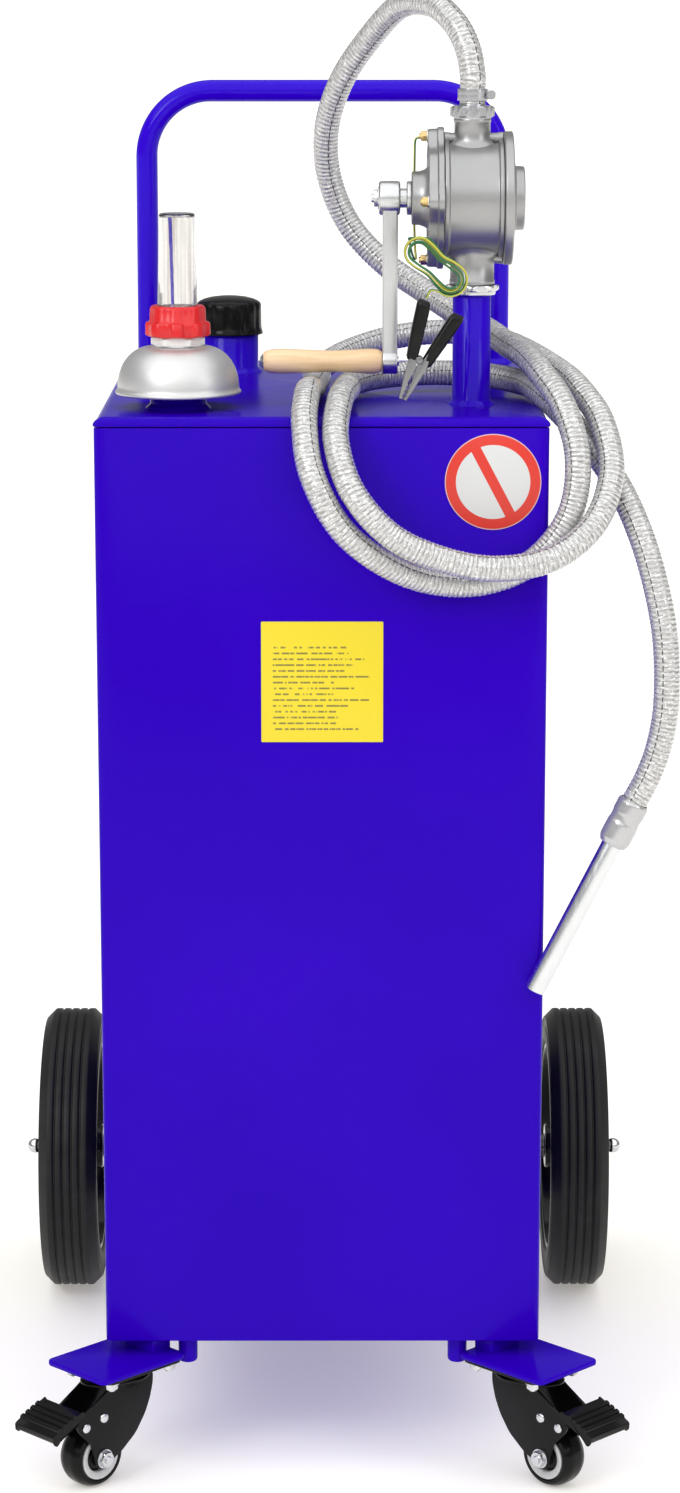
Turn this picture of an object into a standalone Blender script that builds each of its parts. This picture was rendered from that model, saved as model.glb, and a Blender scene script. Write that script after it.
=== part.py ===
"""Fuel caddy: a 30 gallon steel tank on two wheels and two braked casters, with a rotary hand pump.

Places are given from the middle of the tank's front face: X to the right, Y to the rear, Z up from
the floor. One empty carries them all and sets the origin under the middle of the whole caddy.
"""
import math

import bmesh
import bpy
import numpy as np
from mathutils import Matrix, Vector

# Clearances and facets
GAP = 0.0003
OVERRUN = 0.003
WELD_DISTANCE = 0.00001
ROUND = 20
MEDIUM = 12
SMALL = 8
BEND_STEPS = 6
DOME_STEPS = 4
LOBE_STEPS = 9
DIAGONAL = math.cos(math.pi / 4)

# Tank
TANK_WIDTH = 0.348
TANK_DEPTH = 0.440
TANK_FLOOR = 0.112
TANK_TOP = 0.857
TANK_WALL = 0.002
TANK_CORNER = 0.005
LID_BEND = 0.011
LID_SKIRT = 0.012
BASE_FLANGE = 0.014
FOOT_RADIUS = 0.0078
FOOT_LENGTH = 0.0235
FOOT_INSET = 0.065
FOOT_Y = 0.020

# Handle
HANDLE_RADIUS = 0.00935
HANDLE_SIDE_INSET = 0.0125
HANDLE_HEIGHT = 0.243
HANDLE_BEND = 0.056
HANDLE_BACK_INSET = 0.022
WELD_WIDTH = 0.0035
WELD_HEIGHT = 0.004

# Rear wheels, axle and bracket
AXLE_SETBACK = 0.025
AXLE_RADIUS = 0.008
WHEEL_RADIUS = 0.127
WHEEL_WIDTH = 0.0515
WHEEL_OUTREACH = 0.0815
TYRE_HEIGHT = 0.031
TYRE_SHOULDER = 0.006
TREAD_RIBS = 5
TREAD_DEPTH = 0.0018
TREAD_GROOVE = 0.0034
RIM_WALL = 0.004
RIM_INSET = 0.002
RIM_WEB = 0.006
HUB_RADIUS = 0.021
HUB_FILLET = 0.004
SPACER_RADIUS = 0.0115
NUT_ACROSS = 0.0215
NUT_HEIGHT = 0.0060
NUT_DOME_RADIUS = 0.0088
NUT_DOME_HEIGHT = 0.0065
NUT_BORE_DEPTH = 0.0080
AXLE_TIP_RADIUS = 0.0055
BRACKET_INSET = 0.0210
BRACKET_WALL = 0.003
BRACKET_HEIGHT = 0.046
BRACKET_EAR_RADIUS = 0.018
EAR_ANGLES = (-75, 75)
NUT_DOME_ANGLES = (0, 22, 45, 68, 90)

# Casters
CASTER_INSET = 0.0115
CASTER_Y = 0.002
CASTER_HEADINGS = (225, -45)
CASTER_PLATE_WIDTH = 0.070
CASTER_PLATE_LENGTH = 0.090
CASTER_PLATE_THICKNESS = 0.0045
CASTER_PLATE_CORNER = 0.006
CASTER_PLATE_OUTER = 0.0495
PACKING_HEIGHT = 0.012
PACKING_LENGTH = 0.020
PACKING_WIDTH = 0.034
PACKING_INSET = 0.001
MOUNT_LENGTH = 0.080
MOUNT_WIDTH = 0.064
MOUNT_THICKNESS = 0.003
MOUNT_CORNER = 0.007
RACE_RADIUS = 0.022
RACE_RADIUS_LOW = 0.019
RACE_HEIGHT = 0.0057
KINGPIN_RADIUS = 0.0045
KINGPIN_HEAD_RADIUS = 0.0080
KINGPIN_HEAD_HEIGHT = 0.0022
FORK_CROWN_THICKNESS = 0.0025
FORK_CROWN_RADIUS = 0.0235
FORK_CHEEK = 0.0025
FORK_INNER_HALF = 0.0138
CASTER_TRAIL = 0.033
CASTER_WHEEL_RADIUS = 0.0255
CASTER_WHEEL_WIDTH = 0.024
CASTER_HUB_RADIUS = 0.0172
CASTER_HUB_CORE = 0.0085
CASTER_HUB_RECESS = 0.0030
CASTER_AXLE_RADIUS = 0.0032
CASTER_AXLE_NUT = 0.0135
CASTER_AXLE_HEAD = 0.0042
CHEEK_BOSS_RADIUS = 0.0090
CHEEK_BOSS_ANGLES = (205, 335)
CHEEK_T_SHARES = (-0.73, -0.79, -0.61, 0.18)
CHEEK_Z_SHARES = (1.00, 0.905, 0.70, 0.464)
CHEEK_FRONT_T_SHARES = (1.39, 1.71, 1.82, 1.82, 1.03, 0.67)
CHEEK_FRONT_Z_SHARES = (0.464, 0.586, 0.65, 0.742, 0.911, 1.00)
PEDAL_PIN_T = 0.052
PEDAL_PIN_Z = 0.0565
PEDAL_PIN_RADIUS = 0.0024
PEDAL_EYE_RADIUS = 0.0052
PEDAL_EYE_ANGLES = (80, 280)
PEDAL_REACH = 0.089
PEDAL_WIDTH = 0.045
PEDAL_THICKNESS = 0.0040
PEDAL_ROOT_T = 0.0625
PEDAL_Z = 0.0600
PEDAL_TREADS = 4
PEDAL_TREAD_HEIGHT = 0.0018

# Fuel gauge
GAUGE_INSET = 0.062
GAUGE_Y = 0.068
GAUGE_NECK_RADIUS = 0.022
NECK_WALL = 0.002
NECK_LEDGE = 0.0015
DOME_RADIUS = 0.0475
DOME_TOP_RADIUS = 0.0215
DOME_LIFT = 0.011
DOME_LIP_HEIGHT = 0.004
DOME_HEIGHT = 0.0370
DOME_WALL = 0.0018
ADAPTOR_ACROSS = 0.042
ADAPTOR_HEIGHT = 0.0077
ADAPTOR_STEM_RADIUS = 0.0150
ADAPTOR_STEM_LENGTH = 0.014
NUT_RADIUS = 0.0253
NUT_LOBES = 8
NUT_STEPS = 4 * NUT_LOBES
NUT_LOBE_DEPTH_SHARE = 0.07
NUT_TIER_HEIGHT = 0.0110
NUT_CAP_HEIGHT = 0.0127
NUT_CAP_RADIUS = 0.0205
VIAL_STEM_RADIUS = 0.0135
VIAL_RADIUS = 0.0155
VIAL_TOP_RADIUS = 0.0140
VIAL_HEIGHT = 0.071
VIAL_WALL = 0.0020
FLOAT_ROD_RADIUS = 0.0018
FLOAT_RADIUS = 0.0165
FLOAT_HEIGHT = 0.030
FLOAT_DEPTH = 0.037
INDICATOR_RADIUS = 0.0095
INDICATOR_HEIGHT = 0.0090
INDICATOR_RISE = 0.0170

# Filler
FILLER_X = -0.080
FILLER_BACK_INSET = 0.095
FILLER_NECK_RADIUS = 0.025
FILLER_NECK_HEIGHT = 0.048
CAP_RADIUS = 0.028
CAP_SKIRT = 0.016
CAP_HEIGHT = 0.032
CAP_WALL = 0.0025
CAP_FLUTES = 12
CAP_STEPS = 4 * CAP_FLUTES
CAP_FLUTE_SHARE = 0.035
CAP_DOME_ANGLES = (20, 54)
GASKET_THICKNESS = 0.002
GASKET_BORE = 0.0208

# Pump: stations along its shaft and radii
PUMP_INSET = 0.0565
PUMP_Y = 0.0925
PUMP_RISE = 0.0747
BARREL_REACH = 0.0223
BARREL_LENGTH = 0.0458
BARREL_RADIUS = 0.043
CHAMBER_RADIUS = 0.034
CHAMBER_OFFSET = 0.006
ROTOR_RADIUS = 0.0265
SHAFT_RADIUS = 0.0075
VANE_THICKNESS = 0.0036
VANE_DEPTH = 0.0140
VANE_TIP = 0.0272
COVER_THICKNESS = 0.0124
COVER_RADIUS = 0.0455
COVER_LOBE = 0.0080
COVER_LOBES = 4
COVER_LOBE_SHARPNESS = 4
COVER_RIM = 0.0035
GLAND_BOSS_RADIUS = 0.0206
GLAND_BOSS_LENGTH = 0.0125
GLAND_NUT_RADIUS = 0.0131
GLAND_NUT_LENGTH = 0.0036
FLANGE_THICKNESS = 0.0072
FLANGE_RADIUS = 0.0515
FLANGE_BOSS_RADIUS = 0.0245
FLANGE_BOSS_LENGTH = 0.0092
BEARING_DEPTH = 0.0095
BOLT_BOSS_RADIUS = 0.0046
BOLT_CIRCLE = 0.0465
BOLT_BOSS_ANGLES = (0, 90, 270)
RISER_RADIUS = 0.015
RISER_BORE = 0.0125
RISER_SHOW = 0.0860
RISER_THREAD = 0.0220
LOCKNUT_TIER = 0.0042
LOCKNUT_HEIGHT = 0.0077
LOCKNUT_ACROSS = 0.0420
LOCKNUT_CAP_RADIUS = 0.0195
INLET_RADIUS = 0.0172
OUTLET_RADIUS = 0.0140
OUTLET_HEIGHT = 0.0619
OUTLET_BORE = 0.0103
OUTLET_SHIFT = 0.0005
THROAT_LENGTH = 0.009
PASSAGE_RADIUS = 0.0080
SUCTION_RADIUS = 0.0100
SUCTION_BORE = 0.0080
SUCTION_CLEARANCE = 0.023

# Crank
CRANK_LENGTH = 0.127
HUB_STANDOFF = 0.0049
CRANK_HUB_RADIUS = 0.0132
CRANK_HUB_LENGTH = 0.0168
ARM_THICKNESS = 0.0118
ARM_INSET = 0.0019
ARM_ROOT_RADIUS = 0.0095
ARM_TIP_RADIUS = 0.0072
ARM_BOSS_RADIUS = 0.0100
SHAFT_END_INSET = 0.0010
BOLT_ACROSS = 0.0150
BOLT_HEAD = 0.0037
BOLT_RADIUS = 0.0030
BOLT_LENGTH = 0.0130
SPINDLE_RADIUS = 0.0036
SPINDLE_HEAD_RADIUS = 0.0065
SPINDLE_HEAD = 0.0024
GRIP_CLEARANCE = 0.0187
GRIP_RADIUS = 0.0098
GRIP_RADIUS_SHARES = (0.72, 0.90, 1.00, 0.93, 0.86, 0.92, 1.00, 0.96, 0.80)
GRIP_PLACE_SHARES = (0.00, 0.04, 0.14, 0.36, 0.56, 0.74, 0.88, 0.96, 1.00)

# Outlet hose, its fittings and the spout
HOSE_RADIUS = 0.0103
HOSE_GROOVE = 0.0005
HOSE_BORE = 0.0072
HOSE_RIBS = 72
HOSE_CURVE_STEPS = 16
HOSE_BORE_POINTS_SHARE = 0.60
HOSE_COLLAR = 0.0018
ADAPTOR_HEX_ACROSS = 0.0345
ADAPTOR_HEX_HEIGHT = 0.0088
BARB_RADIUS = 0.0062
BARB_BORE = 0.0044
BARB_STEM_LENGTH = 0.016
BARB_LENGTH = 0.0240
BAND_THICKNESS = 0.0009
BAND_WIDTH = 0.0088
BAND_LIFT = 0.0022
WORM_RADIUS = 0.0036
WORM_LENGTH = 0.0150
CUFF_RADIUS = 0.0125
CUFF_LENGTH = 0.0380
CUFF_CRIMP_SHARES = (0.90, 1.00, 1.00, 0.96, 0.96, 1.00, 1.00, 0.86)
CUFF_PLACE_SHARES = (0.00, 0.06, 0.30, 0.36, 0.46, 0.52, 0.90, 1.00)
CUFF_HOSE_DEPTH = 0.0156
SPOUT_RADIUS = 0.0080
SPOUT_BORE = 0.0068
SPOUT_LENGTH = 0.1540
COIL_START_SHARE = 0.212
COIL_END_SHARE = 0.908

# Earth wire, its hank and the clamp
WIRE_RADIUS = 0.0009
WIRE_PITCH = 0.0030
WIRE_CURVE_STEPS = 2
HANK_LOOPS = 4.5
HANK_POINTS = 20
HANK_LENGTH = 0.0580
HANK_WIDTH = 0.0260
HANK_WAIST_SHARE = 0.18
HANK_X = 0.0868
HANK_Y = 0.0300
HANK_Z = 0.9700
HANK_TILT = math.radians(40)
TERMINAL_RADIUS = 0.0030
TERMINAL_LENGTH = 0.0060
WIRE_ROUTE = (
    (0.0762, 0.0925, 1.0642), (0.0740, 0.0925, 1.0641), (0.0726, 0.0935, 1.0615),
    (0.0724, 0.0970, 1.0530), (0.0724, 0.1050, 1.0400), (0.0724, 0.1140, 1.0260),
    (0.0724, 0.1165, 1.0120), (0.0726, 0.1110, 0.9960), (0.0730, 0.1010, 0.9790),
    (0.0736, 0.0925, 0.9717), (0.0722, 0.0830, 0.9715), (0.0702, 0.0710, 0.9760),
    (0.0686, 0.0590, 0.9825), (0.0678, 0.0470, 0.9880), (0.0682, 0.0375, 0.9905),
)
CLAMP_X = 0.0752
CLAMP_Y = 0.0300
CLAMP_Z = 0.8982
CLAMP_LEAN = math.radians(23)
CLAMP_JAW_LENGTH = 0.0330
CLAMP_JAW_TIP = 0.0032
CLAMP_HALF_WIDTH = 0.0085
CLAMP_THROAT = 0.0055
CLAMP_HANDLE_LENGTH = 0.0450
CLAMP_HANDLE_SPREAD = 0.0135
CLAMP_HANDLE_WIDTH = 0.0085
CLAMP_THICKNESS = 0.0100
CLAMP_LUG = 0.0016
CLAMP_RIVET_RADIUS = 0.0022
CLAMP_KNUCKLE_RADIUS = 0.0050
CLAMP_TEETH = 4
CLAMP_TOOTH = 0.0012

# Hose route from the pump's outlet to the cuff, as the hose lies: over the crank, round behind the
# riser, twice over the tank's front edge in a loose double loop, and down past the right-hand side.
# These points were not chosen by hand: 71 of the 73 stand as a fitting script printed them. It started
# from a tracing by eye and moved it until the hose cleared the tank, the crank and itself.
HOSE_ROUTE = (
    (0.117, 0.0925, 1.0905), (0.117, 0.0925, 1.1015), (0.117, 0.0925, 1.1125),
    (0.113, 0.098, 1.133), (0.103, 0.110, 1.152), (0.086, 0.132, 1.166),
    (0.062, 0.166, 1.164), (0.037, 0.200, 1.137), (0.016, 0.220, 1.105),
    (0.004, 0.239, 1.068), (0.005, 0.255, 1.028), (0.021, 0.261, 0.988),
    (0.049, 0.254, 0.957), (0.082, 0.235, 0.935), (0.110, 0.208, 0.918),
    (0.134, 0.173, 0.907), (0.148, 0.132, 0.900), (0.160, 0.091, 0.895),
    (0.170, 0.050, 0.886), (0.186, 0.017, 0.863), (0.196, -0.002, 0.826),
    (0.190, -0.008, 0.783), (0.164, -0.011, 0.749), (0.125, -0.013, 0.732),
    (0.083, -0.021, 0.734), (0.046, -0.036, 0.751), (0.014, -0.044, 0.779),
    (-0.007, -0.039, 0.818), (-0.013, -0.017, 0.853), (-0.011, 0.022, 0.873),
    (-0.008, 0.067, 0.871), (-0.007, 0.108, 0.868), (-0.003, 0.152, 0.872),
    (-0.006, 0.195, 0.868), (-0.001, 0.238, 0.871), (0.022, 0.273, 0.881),
    (0.060, 0.290, 0.891), (0.102, 0.284, 0.896), (0.136, 0.258, 0.895),
    (0.154, 0.219, 0.892), (0.159, 0.176, 0.893), (0.169, 0.134, 0.891),
    (0.186, 0.095, 0.883), (0.200, 0.055, 0.873), (0.216, 0.022, 0.850),
    (0.222, -0.001, 0.814), (0.208, -0.020, 0.778), (0.176, -0.035, 0.754),
    (0.133, -0.043, 0.747), (0.091, -0.048, 0.755), (0.052, -0.052, 0.774),
    (0.023, -0.047, 0.807), (0.011, -0.027, 0.843), (0.014, 0.008, 0.869),
    (0.020, 0.048, 0.874), (0.018, 0.092, 0.868), (0.024, 0.136, 0.869),
    (0.049, 0.170, 0.871), (0.089, 0.185, 0.872), (0.131, 0.175, 0.871),
    (0.159, 0.143, 0.869), (0.169, 0.100, 0.868), (0.183, 0.062, 0.858),
    (0.205, 0.035, 0.835), (0.229, 0.019, 0.802), (0.246, 0.003, 0.765),
    (0.258, -0.007, 0.724), (0.265, -0.011, 0.683), (0.266, -0.012, 0.636),
    (0.261, -0.011, 0.603), (0.253, -0.010, 0.579), (0.243, -0.010, 0.559),
    (0.236, -0.010, 0.545),
)

# Colours
BLUE = (0.022, 0.004, 0.520)
SILVER = (0.560, 0.565, 0.575)
ZINC = (0.700, 0.705, 0.715)
BLACK = (0.018, 0.018, 0.019)
RED = (0.620, 0.020, 0.018)
WHITE = (0.800, 0.800, 0.790)
CLEAR = (0.780, 0.800, 0.800)
WOOD = (0.720, 0.500, 0.270)
GREEN = (0.060, 0.260, 0.080)

# Derived places
HANDLE_OUTER_X = TANK_WIDTH / 2 - HANDLE_SIDE_INSET
HANDLE_TOP = TANK_TOP + HANDLE_HEIGHT
HANDLE_Y = TANK_DEPTH - HANDLE_BACK_INSET
AXLE_Y = TANK_DEPTH + AXLE_SETBACK
WHEEL_OUTER_X = TANK_WIDTH / 2 + WHEEL_OUTREACH
WHEEL_Z = WHEEL_RADIUS
BRACKET_HALF_LENGTH = TANK_WIDTH / 2 - BRACKET_INSET
FOOT_X = TANK_WIDTH / 2 - FOOT_INSET
CASTER_X = TANK_WIDTH / 2 - CASTER_INSET
CASTER_PLATE_TOP = TANK_FLOOR - PACKING_HEIGHT
GAUGE_X = GAUGE_INSET - TANK_WIDTH / 2
DOME_LIP_Z = TANK_TOP + DOME_LIFT
DOME_TOP_Z = DOME_LIP_Z + DOME_HEIGHT
FLOAT_TOP_Z = TANK_TOP - FLOAT_DEPTH
INDICATOR_Z = DOME_TOP_Z + INDICATOR_RISE
FILLER_Y = TANK_DEPTH - FILLER_BACK_INSET
FILLER_NECK_TOP = TANK_TOP + FILLER_NECK_HEIGHT
CAP_BOTTOM = FILLER_NECK_TOP - CAP_SKIRT
CAP_TOP = CAP_BOTTOM + CAP_HEIGHT
PUMP_X = TANK_WIDTH / 2 - PUMP_INSET
BARREL_LEFT = PUMP_X - BARREL_REACH
LOCKNUT_BOTTOM = TANK_TOP + RISER_SHOW
RISER_TOP = LOCKNUT_BOTTOM + RISER_THREAD
PUMP_Z = LOCKNUT_BOTTOM + PUMP_RISE
OUTLET_TOP = PUMP_Z + OUTLET_HEIGHT
HOSE_BASE = OUTLET_TOP + GAP + ADAPTOR_HEX_HEIGHT + HOSE_COLLAR
SUCTION_BOTTOM = TANK_FLOOR + SUCTION_CLEARANCE
REAR_REACH = AXLE_Y + WHEEL_RADIUS
FRONT_REACH = CASTER_Y - (PEDAL_REACH + PEDAL_WIDTH / 2) * DIAGONAL
MIDDLE_Y = (REAR_REACH + FRONT_REACH) / 2
SEAT_Z = TANK_TOP + GAP
MOUNT_TOP = CASTER_PLATE_TOP - CASTER_PLATE_THICKNESS - GAP
FORK_TOP = MOUNT_TOP - MOUNT_THICKNESS - RACE_HEIGHT - GAP
BARREL_RIGHT = BARREL_LEFT + BARREL_LENGTH
COVER_RIGHT = BARREL_LEFT - GAP
COVER_LEFT = COVER_RIGHT - COVER_THICKNESS
GLAND_LEFT = COVER_LEFT - GLAND_BOSS_LENGTH
GLAND_NUT_RIGHT = GLAND_LEFT - GAP
GLAND_NUT_LEFT = GLAND_NUT_RIGHT - GLAND_NUT_LENGTH
CRANK_HUB_RIGHT = GLAND_NUT_LEFT - HUB_STANDOFF
CRANK_HUB_LEFT = CRANK_HUB_RIGHT - CRANK_HUB_LENGTH
ARM_RIGHT = CRANK_HUB_RIGHT - ARM_INSET
ARM_LEFT = ARM_RIGHT - ARM_THICKNESS
GRIP_RIGHT = ARM_LEFT - GAP
GRIP_LEFT = GAUGE_X + DOME_RADIUS + GRIP_CLEARANCE
GRIP_LENGTH = GRIP_RIGHT - GRIP_LEFT
FLANGE_LEFT = BARREL_RIGHT + GAP
FLANGE_RIGHT = FLANGE_LEFT + FLANGE_THICKNESS

FACINGS = {
    "X": Matrix(((0, 0, 1), (1, 0, 0), (0, 1, 0))),
    "FRONT": Matrix(((1, 0, 0), (0, 0, -1), (0, 1, 0))),
    "Z": Matrix.Identity(3),
}


# Scene, materials and frames
def clear_scene():
    for obj in list(bpy.data.objects):
        bpy.data.objects.remove(obj, do_unlink=True)


def new_collection(name):
    collection = bpy.data.collections.new(name)
    bpy.context.scene.collection.children.link(collection)
    return collection


def new_material(name, colour, roughness, metallic):
    material = bpy.data.materials.new(name)
    material.use_nodes = True
    shader = material.node_tree.nodes["Principled BSDF"]
    shader.inputs["Base Color"].default_value = (*colour, 1)
    shader.inputs["Roughness"].default_value = roughness
    shader.inputs["Metallic"].default_value = metallic
    return material


def new_empty(name, place, parent=None, turn=(0, 0, 0)):
    empty = bpy.data.objects.new(name, None)
    PARTS.objects.link(empty)
    empty.parent = parent
    empty.location = place
    empty.rotation_euler = turn
    return empty


def add_object(name, mesh, place, facing, frame):
    obj = bpy.data.objects.new(name, mesh)
    PARTS.objects.link(obj)
    obj.parent = frame
    obj.location = place
    turn = FACINGS[facing] if isinstance(facing, str) else upright_to(facing)
    obj.rotation_euler = turn.to_euler()
    return obj


def upright_to(direction):
    return Vector((0, 0, 1)).rotation_difference(direction).to_matrix()


def dress(obj, colour, roughness=0.5, metallic=0.0, smooth_angle=35):
    """Give a finished piece its own material and its shading."""
    obj.data.materials.clear()
    obj.data.materials.append(new_material(obj.name, colour, roughness, metallic))
    obj.data.shade_smooth()
    obj.data.set_sharp_from_angle(angle=math.radians(smooth_angle))
    return obj


# Solids
def mesh_from(bm, name):
    mesh = bpy.data.meshes.new(name)
    bm.to_mesh(mesh)
    bm.free()
    return mesh


def rod(name, radius, low, high, place, frame, facing="Z", sides=ROUND, end_radius=None):
    """A round bar from low to high along its facing direction."""
    bm = bmesh.new()
    bmesh.ops.create_cone(
        bm, cap_ends=True, segments=sides, radius1=radius,
        radius2=radius if end_radius is None else end_radius, depth=high - low)
    bmesh.ops.translate(bm, vec=(0, 0, (low + high) / 2), verts=bm.verts)
    return add_object(name, mesh_from(bm, name), place, facing, frame)


def block(name, size, place, frame, facing="Z"):
    bm = bmesh.new()
    bmesh.ops.create_cube(bm, size=1)
    bmesh.ops.scale(bm, vec=size, verts=bm.verts)
    return add_object(name, mesh_from(bm, name), place, facing, frame)


def turned(name, profile, place, frame, facing="Z", steps=ROUND, closed=False):
    """A profile of (radius, height) points, down the outer side, swept round the facing direction."""
    bm = bmesh.new()
    points = [bm.verts.new((radius, 0, height)) for radius, height in profile]
    for upper, lower in zip(points, points[1:]):
        bm.edges.new((upper, lower))
    if closed:
        bm.edges.new((points[-1], points[0]))
    obj = add_object(name, mesh_from(bm, name), place, facing, frame)
    screw = obj.modifiers.new("sweep", "SCREW")
    screw.steps = steps
    screw.render_steps = steps
    screw.use_merge_vertices = True
    screw.merge_threshold = WELD_DISTANCE
    return obj


def loft(name, rings, place, frame, facing="Z", looped=False):
    """A skin over rings of equal counts, each anticlockwise from above: down the outer side and up
    the inner one. A looped skin meets its first ring again, and any other has flat end caps."""
    bm = bmesh.new()
    rows = [[bm.verts.new(point) for point in ring] for ring in rings]
    following = rows[1:] + rows[:1] if looped else rows[1:]
    for upper, lower in zip(rows, following):
        for start in range(len(upper)):
            after = (start + 1) % len(upper)
            bm.faces.new((lower[start], lower[after], upper[after], upper[start]))
    if not looped:
        bm.faces.new(rows[0])
        bm.faces.new(reversed(rows[-1]))
    return add_object(name, mesh_from(bm, name), place, facing, frame)


def prism(name, outline, thickness, place, frame, facing="Z"):
    """A flat outline in the facing plane, half its thickness to each side."""
    curve = bpy.data.curves.new(name, "CURVE")
    curve.dimensions = "2D"
    curve.fill_mode = "BOTH"
    curve.extrude = thickness / 2
    spline = curve.splines.new("POLY")
    spline.points.add(len(outline) - 1)
    for point, (across, up) in zip(spline.points, outline):
        point.co = (across, up, 0, 1)
    spline.use_cyclic_u = True
    return meshed(add_object(name, curve, place, facing, frame))


def tube(name, points, radius, frame, sides_level, radii=None):
    """A round tube along points; radii, if given, are shares of the radius."""
    curve = bpy.data.curves.new(name, "CURVE")
    curve.dimensions = "3D"
    curve.bevel_depth = radius
    curve.bevel_resolution = sides_level
    curve.use_fill_caps = True
    spline = curve.splines.new("POLY")
    spline.points.add(len(points) - 1)
    for number, (knot, point) in enumerate(zip(spline.points, points)):
        knot.co = (*point, 1)
        knot.radius = radii[number] if radii else 1
    return meshed(add_object(name, curve, (0, 0, 0), "Z", frame))


def meshed(curve_object):
    """The same object as one welded mesh."""
    bpy.context.view_layer.update()
    evaluated = curve_object.evaluated_get(bpy.context.evaluated_depsgraph_get())
    mesh = bpy.data.meshes.new_from_object(evaluated)
    bm = bmesh.new()
    bm.from_mesh(mesh)
    bmesh.ops.remove_doubles(bm, verts=bm.verts, dist=WELD_DISTANCE)
    bm.to_mesh(mesh)
    bm.free()
    name = curve_object.name
    solid = bpy.data.objects.new(name, mesh)
    PARTS.objects.link(solid)
    solid.parent = curve_object.parent
    solid.matrix_world = curve_object.matrix_world
    curve = curve_object.data
    bpy.data.objects.remove(curve_object, do_unlink=True)
    bpy.data.curves.remove(curve)
    solid.name = name
    return solid


def combine(obj, operation, others):
    for other in others:
        boolean = obj.modifiers.new(operation.lower(), "BOOLEAN")
        boolean.operation = operation
        boolean.object = other
        if other.name in PARTS.objects:
            PARTS.objects.unlink(other)
            CUTTERS.objects.link(other)
        other.hide_render = True
        other.display_type = "WIRE"
    return obj


def join(obj, *others):
    return combine(obj, "UNION", others)


def cut(obj, *others):
    return combine(obj, "DIFFERENCE", others)


# Outlines
def arc(across, up, radius, start, end, steps):
    angles = [math.radians(start + (end - start) * step / steps) for step in range(steps + 1)]
    return [(across + radius * math.cos(angle), up + radius * math.sin(angle)) for angle in angles]


def rounded_rectangle(width, depth, radius, steps=3):
    half_width = width / 2 - radius
    half_depth = depth / 2 - radius
    corners = ((half_width, half_depth), (-half_width, half_depth),
               (-half_width, -half_depth), (half_width, -half_depth))
    outline = []
    for quarter, (across, up) in enumerate(corners):
        outline += arc(across, up, radius, 90 * quarter, 90 * quarter + 90, steps)
    return outline


def polygon(across_corners, sides, turn=0.0):
    angles = [turn + 2 * math.pi * side / sides for side in range(sides)]
    radius = across_corners / 2
    return [(radius * math.cos(angle), radius * math.sin(angle)) for angle in angles]


def capsule(first, first_radius, second, second_radius, steps=BEND_STEPS):
    """Two circles and the straight sides that touch both."""
    start = Vector(first)
    along = Vector(second) - start
    heading = math.degrees(math.atan2(along.y, along.x))
    lean = math.degrees(math.acos((first_radius - second_radius) / along.length))
    outline = arc(*second, second_radius, heading - lean, heading + lean, steps)
    outline += arc(*first, first_radius, heading + lean, heading + 360 - lean, steps)
    return outline


def lobed(radius, depth, lobes, steps, height, sharpness=1):
    """A ring whose radius swells by depth at each lobe."""
    ring = []
    for step in range(steps):
        angle = 2 * math.pi * step / steps
        swell = (0.5 + 0.5 * math.cos(lobes * angle)) ** sharpness
        reach = radius + depth * swell
        ring.append((reach * math.cos(angle), reach * math.sin(angle), height))
    return ring


def smooth_curve(points, steps):
    """A smooth curve through all points, with as many steps between each two."""
    knots = [np.array(point) for point in points]
    knots = [2 * knots[0] - knots[1], *knots, 2 * knots[-1] - knots[-2]]
    curve = []
    for before, start, end, after in zip(knots, knots[1:], knots[2:], knots[3:]):
        for step in range(steps):
            t = step / steps
            curve.append(0.5 * (2 * start + (end - before) * t
                                + (2 * before - 5 * start + 4 * end - after) * t ** 2
                                + (3 * start - before - 3 * end + after) * t ** 3))
    curve.append(knots[-2])
    return np.array(curve)


def resampled(curve, start, end, count):
    """Points at even distances along a curve, between two lengths from its start."""
    steps = np.linalg.norm(np.diff(curve, axis=0), axis=1)
    lengths = np.concatenate(([0], np.cumsum(steps)))
    wanted = np.linspace(start, end, count)
    return np.column_stack([np.interp(wanted, lengths, curve[:, axis]) for axis in range(3)])


def curve_length(curve):
    return float(np.linalg.norm(np.diff(curve, axis=0), axis=1).sum())


def least_gap(curve, radius, apart):
    """The least clear distance of a tube to itself, between points further apart along it."""
    steps = np.linalg.norm(np.diff(curve, axis=0), axis=1)
    lengths = np.concatenate(([0], np.cumsum(steps)))
    distances = np.linalg.norm(curve[:, None] - curve[None], axis=2)
    near = np.abs(lengths[:, None] - lengths[None]) < apart
    return float(np.where(near, np.inf, distances).min()) - 2 * radius


# Tank, handle and running gear
def tank_ring(height, inset):
    corner = max(TANK_CORNER - inset, TANK_WALL / 4)
    outline = rounded_rectangle(TANK_WIDTH - 2 * inset, TANK_DEPTH - 2 * inset, corner)
    return [(across, up, height) for across, up in outline]


def bend_rings(centre_height, radius, wall, upward, steps=3):
    """Rings round a folded edge, from the flat side to the upright one."""
    rings = []
    for step in range(steps + 1):
        angle = math.pi / 2 * (1 - step / steps)
        inset = wall + radius * (1 - math.cos(angle))
        rings.append(tank_ring(centre_height + upward * radius * math.sin(angle), inset))
    return rings


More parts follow.
